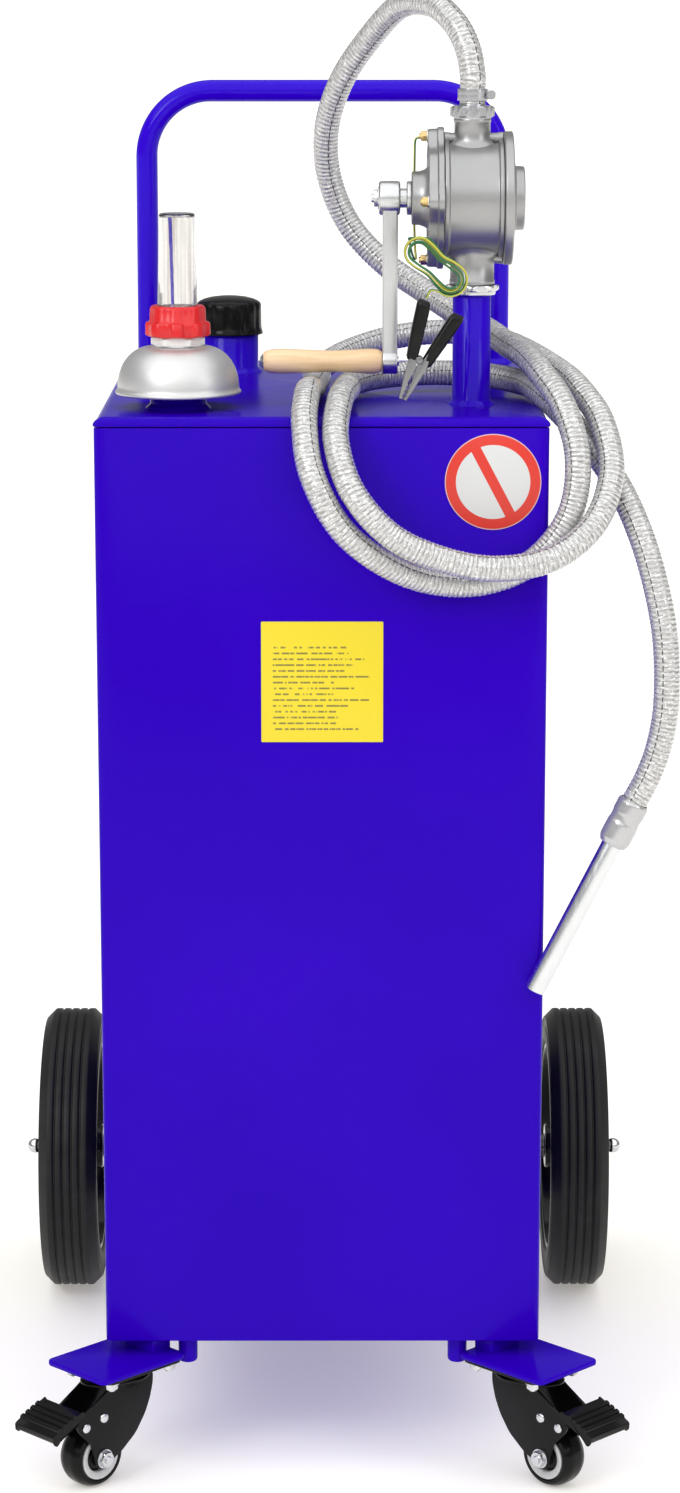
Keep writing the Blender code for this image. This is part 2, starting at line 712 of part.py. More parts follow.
def make_tank(frame):
    tank = new_empty("tank", (0, TANK_DEPTH / 2, 0), frame)
    seam = TANK_TOP - LID_SKIRT
    wrap_top = seam - GAP
    wrap = loft("tank_wrap", [
        tank_ring(wrap_top, 0), tank_ring(TANK_FLOOR, 0),
        tank_ring(TANK_FLOOR, TANK_WALL), tank_ring(wrap_top, TANK_WALL)],
        (0, 0, 0), tank, looped=True)
    dress(wrap, BLUE, 0.25)

    fold = TANK_TOP - LID_BEND
    outside = bend_rings(fold, LID_BEND, 0, 1) + [tank_ring(seam, 0)]
    inside = bend_rings(fold, LID_BEND - TANK_WALL, TANK_WALL, 1) + [tank_ring(seam, TANK_WALL)]
    lid = loft("tank_top", outside + inside[::-1], (0, 0, 0), tank)
    for name, bore, x, y in (
            ("gauge_hole", GAUGE_NECK_RADIUS - NECK_WALL - NECK_LEDGE, GAUGE_X, GAUGE_Y),
            ("filler_hole", FILLER_NECK_RADIUS - NECK_WALL - NECK_LEDGE, FILLER_X, FILLER_Y),
            ("riser_hole", RISER_BORE - NECK_LEDGE / 2, PUMP_X, PUMP_Y)):
        cut(lid, rod(name, bore, seam, TANK_TOP + OVERRUN, (x, y, 0), frame, sides=MEDIUM))
    dress(lid, BLUE, 0.25)

    inset = TANK_WALL + GAP
    floor_bend = TANK_WALL * 2
    fold = TANK_FLOOR + floor_bend
    rim = TANK_FLOOR + BASE_FLANGE
    outside = bend_rings(fold, floor_bend, inset, -1, 1)[::-1]
    inside = bend_rings(fold, floor_bend - TANK_WALL, inset + TANK_WALL, -1, 1)
    lip = [tank_ring(rim, inset + TANK_WALL), tank_ring(rim, inset)]
    base = loft("tank_base", inside + lip + outside, (0, 0, 0), tank)
    for side in (-1, 1):
        join(base, rod("foot", FOOT_RADIUS, TANK_FLOOR - FOOT_LENGTH, TANK_FLOOR + TANK_WALL / 2,
                       (side * FOOT_X, FOOT_Y, 0), frame, sides=SMALL))
    dress(base, BLUE, 0.25)


def make_neck(name, radius, bore, top, place, frame, flare=WELD_WIDTH):
    """A pipe standing on the lid, with its weld bead as a small flare at the foot."""
    neck = turned(name, [
        (radius, top), (radius, SEAT_Z + WELD_HEIGHT), (radius + flare, SEAT_Z),
        (bore, SEAT_Z), (bore, top)], place, frame, closed=True)
    return dress(neck, BLUE, 0.25)


def make_handle(frame):
    leg_x = HANDLE_OUTER_X - HANDLE_RADIUS
    bend_z = HANDLE_TOP - HANDLE_RADIUS - HANDLE_BEND
    path = [(-leg_x, SEAT_Z + WELD_HEIGHT / 2)]
    path += arc(HANDLE_BEND - leg_x, bend_z, HANDLE_BEND, 180, 90, BEND_STEPS)
    path += arc(leg_x - HANDLE_BEND, bend_z, HANDLE_BEND, 90, 0, BEND_STEPS)
    path.append((leg_x, SEAT_Z + WELD_HEIGHT / 2))
    handle = tube("handle_frame", [(x, HANDLE_Y, z) for x, z in path], HANDLE_RADIUS, frame, 3)
    for side in (-1, 1):
        join(handle, rod("collar", HANDLE_RADIUS + WELD_WIDTH, SEAT_Z, SEAT_Z + 2 * WELD_HEIGHT,
                         (side * leg_x, HANDLE_Y, 0), frame, sides=SMALL, end_radius=HANDLE_RADIUS))
    dress(handle, BLUE, 0.25)


def make_axle(frame):
    axle_frame = new_empty("axle", (0, AXLE_Y, WHEEL_Z), frame)
    web_y = TANK_DEPTH + GAP - AXLE_Y
    half_height = BRACKET_HEIGHT / 2
    bracket = block("axle_bracket", (2 * BRACKET_HALF_LENGTH, BRACKET_WALL, BRACKET_HEIGHT),
                    (0, web_y + BRACKET_WALL / 2, 0), axle_frame)
    ear = [(web_y + BRACKET_WALL / 2, half_height), (web_y + BRACKET_WALL / 2, -half_height)]
    ear += arc(0, 0, BRACKET_EAR_RADIUS, *EAR_ANGLES, DOME_STEPS)
    for side in (-1, 1):
        ear_x = side * (BRACKET_HALF_LENGTH - BRACKET_WALL / 2)
        join(bracket, prism("ear", ear, BRACKET_WALL, (ear_x, 0, 0), axle_frame, "X"))
    reach = BRACKET_HALF_LENGTH + OVERRUN
    cut(bracket, rod("axle_hole", AXLE_RADIUS + GAP, -reach, reach, (0, 0, 0), axle_frame, "X"))
    dress(bracket, BLUE, 0.3)

    inner_face = WHEEL_OUTER_X - WHEEL_WIDTH - GAP
    ear_face = BRACKET_HALF_LENGTH + GAP
    tip = WHEEL_OUTER_X + NUT_BORE_DEPTH
    right = [(0, tip), (AXLE_TIP_RADIUS, tip), (AXLE_TIP_RADIUS, WHEEL_OUTER_X - AXLE_TIP_RADIUS),
             (AXLE_RADIUS, WHEEL_OUTER_X - AXLE_TIP_RADIUS), (AXLE_RADIUS, inner_face),
             (SPACER_RADIUS, inner_face), (SPACER_RADIUS, ear_face), (AXLE_RADIUS, ear_face)]
    left = [(radius, -x) for radius, x in reversed(right)]
    dress(turned("rear_axle", right + left, (0, 0, 0), axle_frame, "X", steps=MEDIUM), ZINC, 0.35, 1.0)

    for side, label in ((-1, "left"), (1, "right")):
        outward = Vector((side, 0, 0))
        seat = WHEEL_OUTER_X + GAP
        dome_base = seat + NUT_HEIGHT - GAP
        nut = prism("axle_nut_" + label, polygon(NUT_ACROSS, 6), NUT_HEIGHT,
                    (side * (seat + NUT_HEIGHT / 2), 0, 0), axle_frame, "X")
        dome = [(NUT_DOME_RADIUS * math.sin(math.radians(angle)),
                 dome_base + NUT_DOME_HEIGHT * math.cos(math.radians(angle)))
                for angle in NUT_DOME_ANGLES]
        dome.append((0, dome_base))
        join(nut, turned("dome", dome, (0, 0, 0), axle_frame, outward, steps=MEDIUM))
        cut(nut, rod("nut_bore", AXLE_TIP_RADIUS + GAP, seat - OVERRUN, tip + GAP,
                     (0, 0, 0), axle_frame, outward, sides=MEDIUM))
        dress(nut, ZINC, 0.15, 1.0)
        make_wheel(label, side * (WHEEL_OUTER_X - WHEEL_WIDTH / 2), axle_frame)


def make_wheel(label, x, axle_frame):
    wheel = new_empty("wheel_" + label, (x, 0, 0), axle_frame)
    half = WHEEL_WIDTH / 2
    seat = WHEEL_RADIUS - TYRE_HEIGHT
    tread_half = half - TYRE_SHOULDER
    rib = (2 * tread_half - (TREAD_RIBS - 1) * TREAD_GROOVE) / TREAD_RIBS
    profile = [(seat, half), (WHEEL_RADIUS - TYRE_SHOULDER, half)]
    for number in range(TREAD_RIBS):
        start = tread_half - number * (rib + TREAD_GROOVE)
        profile.append((WHEEL_RADIUS, start))
        profile.append((WHEEL_RADIUS, start - rib))
        if number < TREAD_RIBS - 1:
            profile.append((WHEEL_RADIUS - TREAD_DEPTH, start - rib - TREAD_GROOVE / 2))
    profile += [(WHEEL_RADIUS - TYRE_SHOULDER, -half), (seat, -half)]
    tyre = turned("wheel_tyre_" + label, profile, (0, 0, 0), wheel, "X", closed=True)
    dress(tyre, BLACK, 0.7)

    barrel = seat - GAP
    barrel_half = half - RIM_INSET
    bore = AXLE_RADIUS + GAP
    web_half = RIM_WEB / 2
    inner = barrel - RIM_WALL
    rim = turned("wheel_rim_" + label, [
        (barrel, barrel_half), (barrel, -barrel_half), (inner, -barrel_half),
        (inner - HUB_FILLET, -web_half), (HUB_RADIUS, -web_half), (HUB_RADIUS, -half), (bore, -half),
        (bore, half), (HUB_RADIUS, half), (HUB_RADIUS, web_half), (inner - HUB_FILLET, web_half),
        (inner, barrel_half)], (0, 0, 0), wheel, "X", closed=True)
    dress(rim, BLACK, 0.45)


def make_caster(side, label, frame):
    """A braked swivel caster under its blue plate. Its frame's X axis is the way it trails."""
    heading = math.radians(CASTER_HEADINGS[side > 0])
    seat = new_empty("caster_seat_" + label, (side * CASTER_X, CASTER_Y, 0), frame, (0, 0, heading))
    plate_middle = CASTER_PLATE_OUTER - CASTER_PLATE_LENGTH / 2
    plate_z = CASTER_PLATE_TOP - CASTER_PLATE_THICKNESS / 2
    plate = prism("caster_plate_" + label,
                  rounded_rectangle(CASTER_PLATE_LENGTH, CASTER_PLATE_WIDTH, CASTER_PLATE_CORNER),
                  CASTER_PLATE_THICKNESS, (plate_middle, 0, plate_z), seat)
    packing_top = TANK_FLOOR - GAP
    packing_x = CASTER_PLATE_OUTER - CASTER_PLATE_LENGTH + PACKING_INSET + PACKING_LENGTH / 2
    join(plate, block("packing", (PACKING_LENGTH, PACKING_WIDTH, packing_top - plate_z),
                      (packing_x, 0, (packing_top + plate_z) / 2), seat))
    dress(plate, BLUE, 0.25)

    race_low = FORK_TOP + GAP
    mount_low = MOUNT_TOP - MOUNT_THICKNESS
    mount = prism("caster_mount_" + label, rounded_rectangle(MOUNT_LENGTH, MOUNT_WIDTH, MOUNT_CORNER),
                  MOUNT_THICKNESS, (0, 0, MOUNT_TOP - MOUNT_THICKNESS / 2), seat)
    crown_low = FORK_TOP - FORK_CROWN_THICKNESS
    head_top = crown_low - GAP
    head_low = head_top - KINGPIN_HEAD_HEIGHT
    kingpin = [
        (0, mount_low + GAP), (RACE_RADIUS, mount_low + GAP), (RACE_RADIUS_LOW, race_low),
        (KINGPIN_RADIUS, race_low), (KINGPIN_RADIUS, head_top), (KINGPIN_HEAD_RADIUS, head_top),
        (KINGPIN_HEAD_RADIUS / 2, head_low), (0, head_low)]
    join(mount, turned("kingpin", kingpin, (0, 0, 0), seat, steps=MEDIUM))
    dress(mount, BLACK, 0.4)
    make_fork(label, new_empty("caster_swivel_" + label, (0, 0, 0), seat))


def make_fork(label, swivel):
    cheek_half = FORK_INNER_HALF + FORK_CHEEK
    sideways = Vector((0, 1, 0))
    outline = [(CASTER_TRAIL * t, FORK_TOP * z) for t, z in zip(CHEEK_T_SHARES, CHEEK_Z_SHARES)]
    outline += arc(CASTER_TRAIL, CASTER_WHEEL_RADIUS, CHEEK_BOSS_RADIUS, *CHEEK_BOSS_ANGLES, DOME_STEPS)
    outline += [(CASTER_TRAIL * t, FORK_TOP * z)
                for t, z in zip(CHEEK_FRONT_T_SHARES, CHEEK_FRONT_Z_SHARES)]
    crown = capsule((0, 0), FORK_CROWN_RADIUS, (CASTER_TRAIL * CHEEK_FRONT_T_SHARES[-1], 0), cheek_half,
                    BEND_STEPS)
    fork = prism("caster_fork_" + label, crown, FORK_CROWN_THICKNESS,
                 (0, 0, FORK_TOP - FORK_CROWN_THICKNESS / 2), swivel)
    for side in (-1, 1):
        y = side * (FORK_INNER_HALF + FORK_CHEEK / 2)
        join(fork, prism("cheek", outline, FORK_CHEEK, (0, y, 0), swivel, "FRONT"))
    reach = cheek_half + OVERRUN
    for name, radius, x, z in (("axle_hole", CASTER_AXLE_RADIUS, CASTER_TRAIL, CASTER_WHEEL_RADIUS),
                               ("pin_hole", PEDAL_PIN_RADIUS, PEDAL_PIN_T, PEDAL_PIN_Z)):
        cut(fork, rod(name, radius + GAP, -reach, reach, (x, 0, z), swivel, sideways, sides=SMALL))
    cut(fork, rod("kingpin_hole", KINGPIN_RADIUS + GAP, FORK_TOP - FORK_CROWN_THICKNESS - OVERRUN,
                  FORK_TOP + OVERRUN, (0, 0, 0), swivel, sides=MEDIUM))
    dress(fork, BLACK, 0.4)

    roll = new_empty("caster_roll_" + label, (CASTER_TRAIL, 0, CASTER_WHEEL_RADIUS), swivel)
    head_middle = cheek_half + GAP + CASTER_AXLE_HEAD / 2
    bolt_reach = head_middle
    bolt = rod("caster_axle_" + label, CASTER_AXLE_RADIUS, -bolt_reach, bolt_reach, (0, 0, 0), roll,
               sideways, sides=SMALL)
    for side in (-1, 1):
        join(bolt, prism("bolt_head", polygon(CASTER_AXLE_NUT, 6), CASTER_AXLE_HEAD,
                         (0, side * head_middle, 0), roll, "FRONT"))
    dress(bolt, ZINC, 0.3, 1.0)

    half = CASTER_WHEEL_WIDTH / 2
    crown = CASTER_HUB_RECESS
    seat = CASTER_HUB_RADIUS + GAP
    tyre = turned("caster_tyre_" + label, [
        (seat, half), (CASTER_WHEEL_RADIUS - crown, half), (CASTER_WHEEL_RADIUS, half - crown),
        (CASTER_WHEEL_RADIUS, crown - half), (CASTER_WHEEL_RADIUS - crown, -half), (seat, -half)],
        (0, 0, 0), roll, sideways, closed=True)
    dress(tyre, BLACK, 0.6)
    core_half = FORK_INNER_HALF - GAP
    web_half = half - CASTER_HUB_RECESS
    lip = CASTER_HUB_RADIUS - CASTER_HUB_RECESS
    bore = CASTER_AXLE_RADIUS + GAP
    hub = turned("caster_hub_" + label, [
        (bore, core_half), (CASTER_HUB_CORE, core_half), (CASTER_HUB_CORE, web_half), (lip, web_half),
        (CASTER_HUB_RADIUS, half), (CASTER_HUB_RADIUS, -half), (lip, -web_half),
        (CASTER_HUB_CORE, -web_half), (CASTER_HUB_CORE, -core_half), (bore, -core_half)],
        (0, 0, 0), roll, sideways, steps=MEDIUM, closed=True)
    dress(hub, WHITE, 0.5)
    make_pedal(label, swivel)


def make_pedal(label, swivel):
    """The brake pedal: an eye and arm between the cheeks, and a stepped tread outside them."""
    hinge = new_empty("pedal_hinge_" + label, (PEDAL_PIN_T, 0, PEDAL_PIN_Z), swivel)
    arm_width = 2 * (FORK_INNER_HALF - GAP)
    tread_x = PEDAL_ROOT_T - PEDAL_PIN_T
    tip_x = PEDAL_REACH - PEDAL_PIN_T
    low = PEDAL_Z - PEDAL_THICKNESS / 2 - PEDAL_PIN_Z
    high = low + PEDAL_THICKNESS
    eye = [(tread_x + PEDAL_THICKNESS, low), (tread_x + PEDAL_THICKNESS, high)]
    eye += arc(0, 0, PEDAL_EYE_RADIUS, *PEDAL_EYE_ANGLES, BEND_STEPS)
    pedal = prism("brake_pedal_" + label, eye, arm_width, (0, 0, 0), hinge, "FRONT")
    side_outline = [(tread_x, low), (tip_x, low), (tip_x, high)]
    step = (tip_x - tread_x) / PEDAL_TREADS
    for number in range(PEDAL_TREADS):
        edge = tip_x - number * step
        side_outline += [(edge - step / 3, high + PEDAL_TREAD_HEIGHT),
                         (edge - 2 * step / 3, high + PEDAL_TREAD_HEIGHT), (edge - step, high)]
    join(pedal, prism("tread", side_outline, PEDAL_WIDTH, (0, 0, 0), hinge, "FRONT"))
    pin_reach = FORK_INNER_HALF + FORK_CHEEK + PEDAL_PIN_RADIUS / 2
    join(pedal, rod("pin", PEDAL_PIN_RADIUS, -pin_reach, pin_reach, (0, 0, 0), hinge,
                    Vector((0, 1, 0)), sides=SMALL))
    dress(pedal, BLACK, 0.5)


# Fuel gauge and filler
def quarter_ellipse(top_radius, radius, low, height, steps=DOME_STEPS):
    """A domed profile from its flat top down to its rim."""
    angles = [math.pi / 2 * step / steps for step in range(steps + 1)]
    return [(top_radius + (radius - top_radius) * math.sin(angle), low + height * math.cos(angle))
            for angle in angles]


def make_gauge(frame):
    gauge = new_empty("gauge", (GAUGE_X, GAUGE_Y, 0), frame)
    neck_bore = GAUGE_NECK_RADIUS - NECK_WALL
    make_neck("gauge_neck", GAUGE_NECK_RADIUS, neck_bore, DOME_TOP_Z - DOME_WALL - GAP, (0, 0, 0), gauge)

    rim = DOME_LIP_Z + DOME_LIP_HEIGHT
    hole = ADAPTOR_STEM_RADIUS + GAP
    outer = [(hole, DOME_TOP_Z)]
    outer += quarter_ellipse(DOME_TOP_RADIUS, DOME_RADIUS, rim, DOME_TOP_Z - rim)
    outer += [(DOME_RADIUS, DOME_LIP_Z), (DOME_RADIUS - DOME_WALL, DOME_LIP_Z)]
    inner = quarter_ellipse(DOME_TOP_RADIUS, DOME_RADIUS - DOME_WALL, rim, DOME_TOP_Z - DOME_WALL - rim)
    inner = [(hole, DOME_TOP_Z - DOME_WALL)] + inner
    dome = turned("gauge_dome", outer + inner[::-1], (0, 0, 0), gauge, closed=True)
    dress(dome, SILVER, 0.35, 0.9)

    adaptor_low = DOME_TOP_Z + GAP
    adaptor_high = DOME_TOP_Z + ADAPTOR_HEIGHT
    adaptor = prism("gauge_adaptor", polygon(ADAPTOR_ACROSS, 6), adaptor_high - adaptor_low,
                    (0, 0, (adaptor_low + adaptor_high) / 2), gauge)
    join(adaptor, rod("stem", ADAPTOR_STEM_RADIUS, DOME_TOP_Z - ADAPTOR_STEM_LENGTH, adaptor_low + GAP,
                      (0, 0, 0), gauge))
    cut(adaptor, rod("rod_bore", FLOAT_ROD_RADIUS + 2 * GAP, DOME_TOP_Z - ADAPTOR_STEM_LENGTH - OVERRUN,
                     adaptor_high + OVERRUN, (0, 0, 0), gauge, sides=SMALL))
    dress(adaptor, WHITE, 0.4)

    nut_low = adaptor_high + GAP
    tier = nut_low + NUT_TIER_HEIGHT
    nut_high = tier + NUT_CAP_HEIGHT
    chamfer = NUT_CAP_RADIUS / 12
    depth = NUT_RADIUS * NUT_LOBE_DEPTH_SHARE
    nut = loft("gauge_nut", [
        lobed(NUT_CAP_RADIUS - chamfer, 0, 1, NUT_STEPS, nut_high),
        lobed(NUT_CAP_RADIUS, 0, 1, NUT_STEPS, nut_high - chamfer),
        lobed(NUT_CAP_RADIUS, 0, 1, NUT_STEPS, tier),
        lobed(NUT_RADIUS - depth, depth, NUT_LOBES, NUT_STEPS, tier),
        lobed(NUT_RADIUS - depth, depth, NUT_LOBES, NUT_STEPS, nut_low)], (0, 0, 0), gauge)
    cut(nut, rod("vial_bore", VIAL_STEM_RADIUS + GAP, nut_low - OVERRUN, nut_high + OVERRUN,
                 (0, 0, 0), gauge))
    dress(nut, RED, 0.35)

    shoulder = nut_high + GAP
    vial_top = nut_high + VIAL_HEIGHT
    crown = VIAL_WALL / 2
    vial = turned("gauge_vial", [
        (0, vial_top), (VIAL_TOP_RADIUS - crown, vial_top), (VIAL_TOP_RADIUS, vial_top - crown),
        (VIAL_RADIUS, shoulder), (VIAL_STEM_RADIUS, shoulder), (VIAL_STEM_RADIUS, nut_low),
        (VIAL_STEM_RADIUS - VIAL_WALL, nut_low), (VIAL_STEM_RADIUS - VIAL_WALL, shoulder),
        (VIAL_TOP_RADIUS - VIAL_WALL, vial_top - VIAL_WALL), (0, vial_top - VIAL_WALL)],
        (0, 0, 0), gauge, steps=MEDIUM)
    dress(vial, CLEAR, 0.05)

    slide = new_empty("float_slide", (0, 0, 0), gauge)
    half = INDICATOR_HEIGHT / 2
    float_low = FLOAT_TOP_Z - FLOAT_HEIGHT
    needle = turned("float_gauge", [
        (0, INDICATOR_Z + half), (INDICATOR_RADIUS, INDICATOR_Z + half),
        (INDICATOR_RADIUS, INDICATOR_Z - half), (FLOAT_ROD_RADIUS, INDICATOR_Z - half),
        (FLOAT_ROD_RADIUS, FLOAT_TOP_Z), (FLOAT_RADIUS, FLOAT_TOP_Z), (FLOAT_RADIUS, float_low),
        (0, float_low)], (0, 0, 0), slide, steps=MEDIUM)
    dress(needle, RED, 0.4)


def make_filler(frame):
    filler = new_empty("filler", (FILLER_X, FILLER_Y, 0), frame)
    neck_bore = FILLER_NECK_RADIUS - NECK_WALL
    make_neck("filler_neck", FILLER_NECK_RADIUS, neck_bore, FILLER_NECK_TOP, (0, 0, 0), filler)

    lift = new_empty("cap_lift", (0, 0, 0), filler)
    gasket_low = FILLER_NECK_TOP + GAP
    gasket_high = gasket_low + GASKET_THICKNESS
    gasket = turned("cap_gasket", [
        (FILLER_NECK_RADIUS, gasket_high), (FILLER_NECK_RADIUS, gasket_low),
        (GASKET_BORE, gasket_low), (GASKET_BORE, gasket_high)], (0, 0, 0), lift,
        steps=MEDIUM, closed=True)
    dress(gasket, BLACK, 0.8)

    shoulder = CAP_TOP - (CAP_RADIUS - FILLER_NECK_RADIUS + CAP_WALL) * 2
    depth = CAP_RADIUS * CAP_FLUTE_SHARE
    rings = []
    for angle in CAP_DOME_ANGLES:
        reach = CAP_RADIUS * math.sin(math.radians(angle))
        height = shoulder + (CAP_TOP - shoulder) * math.cos(math.radians(angle))
        rings.append(lobed(reach, 0, 1, CAP_STEPS, height))
    rings.append(lobed(CAP_RADIUS - depth, depth, CAP_FLUTES, CAP_STEPS, shoulder))
    rings.append(lobed(CAP_RADIUS - depth, depth, CAP_FLUTES, CAP_STEPS, CAP_BOTTOM))
    ceiling = gasket_high + GAP
    rings.append(lobed(FILLER_NECK_RADIUS + GAP, 0, 1, CAP_STEPS, CAP_BOTTOM))
    rings.append(lobed(FILLER_NECK_RADIUS + GAP, 0, 1, CAP_STEPS, ceiling))
    dress(loft("filler_cap", rings, (0, 0, 0), lift), BLACK, 0.45)


# Rotary pump and crank
def on_bolt_circle(angle):
    """A bolt's place across the pump, from the rear upwards."""
    return (0, BOLT_CIRCLE * math.cos(angle), BOLT_CIRCLE * math.sin(angle))


def make_pump(frame):
    riser = new_empty("riser", (PUMP_X, PUMP_Y, 0), frame)
    pump = new_empty("pump", (0, PUMP_Y, PUMP_Z), frame)
    make_neck("pump_riser", RISER_RADIUS, RISER_BORE, RISER_TOP, (0, 0, 0), riser)

    pipe_top = RISER_TOP + THROAT_LENGTH
    pipe = turned("suction_tube", [
        (SUCTION_RADIUS, pipe_top), (SUCTION_RADIUS, SUCTION_BOTTOM),
        (SUCTION_BORE, SUCTION_BOTTOM), (SUCTION_BORE, pipe_top)], (0, 0, 0), riser,
        steps=MEDIUM, closed=True)
    dress(pipe, ZINC, 0.4, 1.0)

    nut_top = LOCKNUT_BOTTOM + LOCKNUT_HEIGHT
    tier = LOCKNUT_BOTTOM + LOCKNUT_TIER
    locknut = prism("pump_locknut", polygon(LOCKNUT_ACROSS, 8, math.pi / 8), LOCKNUT_TIER,
                    (0, 0, LOCKNUT_BOTTOM + LOCKNUT_TIER / 2), riser)
    join(locknut, rod("collar", LOCKNUT_CAP_RADIUS, tier - GAP, nut_top, (0, 0, 0), riser))
    cut(locknut, rod("thread_bore", RISER_RADIUS + GAP, LOCKNUT_BOTTOM - OVERRUN, nut_top + OVERRUN,
                     (0, 0, 0), riser))
    dress(locknut, ZINC, 0.3, 1.0)

    body = rod("pump_body", BARREL_RADIUS, BARREL_LEFT, BARREL_RIGHT, (0, 0, 0), pump, "X")
    inlet_low = nut_top + GAP
    join(body, rod("inlet", INLET_RADIUS, inlet_low, PUMP_Z, (0, 0, 0), riser),
         rod("outlet", OUTLET_RADIUS, PUMP_Z, OUTLET_TOP, (0, 0, 0), riser))
    for degrees in BOLT_BOSS_ANGLES:
        join(body, rod("bolt_boss", BOLT_BOSS_RADIUS, BARREL_LEFT, BARREL_RIGHT,
                       on_bolt_circle(math.radians(degrees)), pump, "X", sides=SMALL))
    cut(body,
        rod("chamber", CHAMBER_RADIUS, BARREL_LEFT - OVERRUN, BARREL_RIGHT + OVERRUN,
            (0, 0, CHAMBER_OFFSET), pump, "X"),
        rod("socket", RISER_RADIUS + GAP, inlet_low - OVERRUN, RISER_TOP + GAP, (0, 0, 0), riser),
        rod("throat", SUCTION_RADIUS + GAP, RISER_TOP - OVERRUN, pipe_top + GAP, (0, 0, 0), riser),
        rod("passage", PASSAGE_RADIUS, RISER_TOP, PUMP_Z, (0, 0, 0), riser, sides=SMALL),
        rod("outlet_bore", OUTLET_BORE, PUMP_Z, OUTLET_TOP + OVERRUN, (0, 0, 0), riser))
    dress(body, SILVER, 0.4, 0.9)

    rim = COVER_RADIUS - COVER_RIM / 2
    cover = loft("pump_cover", [
        lobed(COVER_RADIUS, COVER_LOBE, COVER_LOBES, COVER_LOBES * LOBE_STEPS, COVER_RIGHT,
              COVER_LOBE_SHARPNESS),
        lobed(COVER_RADIUS, COVER_LOBE, COVER_LOBES, COVER_LOBES * LOBE_STEPS, COVER_LEFT + COVER_RIM,
              COVER_LOBE_SHARPNESS),
        lobed(rim, COVER_LOBE, COVER_LOBES, COVER_LOBES * LOBE_STEPS, COVER_LEFT,
              COVER_LOBE_SHARPNESS)], (0, 0, 0), pump, "X")
    join(cover, rod("gland_boss", GLAND_BOSS_RADIUS, GLAND_LEFT, COVER_LEFT + GAP, (0, 0, 0), pump, "X"))
    for lobe in range(COVER_LOBES):
        join(cover, rod("terminal", TERMINAL_RADIUS, COVER_LEFT - TERMINAL_LENGTH, COVER_LEFT + GAP,
                        on_bolt_circle(2 * math.pi * lobe / COVER_LOBES), pump, "X", sides=SMALL))
    cut(cover, rod("shaft_bore", SHAFT_RADIUS + GAP, GLAND_LEFT - OVERRUN, COVER_RIGHT + OVERRUN,
                   (0, 0, 0), pump, "X"))
    dress(cover, SILVER, 0.4, 0.9)

    boss_right = FLANGE_RIGHT + FLANGE_BOSS_LENGTH
    bearing_bore = SHAFT_RADIUS + GAP
    chamfer = FLANGE_THICKNESS / 6
    flange = turned("pump_flange", [
        (0, boss_right), (FLANGE_BOSS_RADIUS - chamfer, boss_right),
        (FLANGE_BOSS_RADIUS, boss_right - chamfer), (FLANGE_BOSS_RADIUS, FLANGE_RIGHT),
        (FLANGE_RADIUS - chamfer, FLANGE_RIGHT), (FLANGE_RADIUS, FLANGE_RIGHT - chamfer),
        (FLANGE_RADIUS, FLANGE_LEFT), (bearing_bore, FLANGE_LEFT),
        (bearing_bore, FLANGE_LEFT + BEARING_DEPTH), (0, FLANGE_LEFT + BEARING_DEPTH)],
        (0, 0, 0), pump, "X")
    dress(flange, SILVER, 0.4, 0.9)

    gland = turned("gland_nut", [
        (GLAND_NUT_RADIUS, GLAND_NUT_RIGHT), (GLAND_NUT_RADIUS, GLAND_NUT_LEFT),
        (bearing_bore, GLAND_NUT_LEFT), (bearing_bore, GLAND_NUT_RIGHT)],
        (0, 0, 0), pump, "X", steps=MEDIUM, closed=True)
    dress(gland, ZINC, 0.3, 1.0)
    make_crank(new_empty("crank", (0, 0, 0), pump))


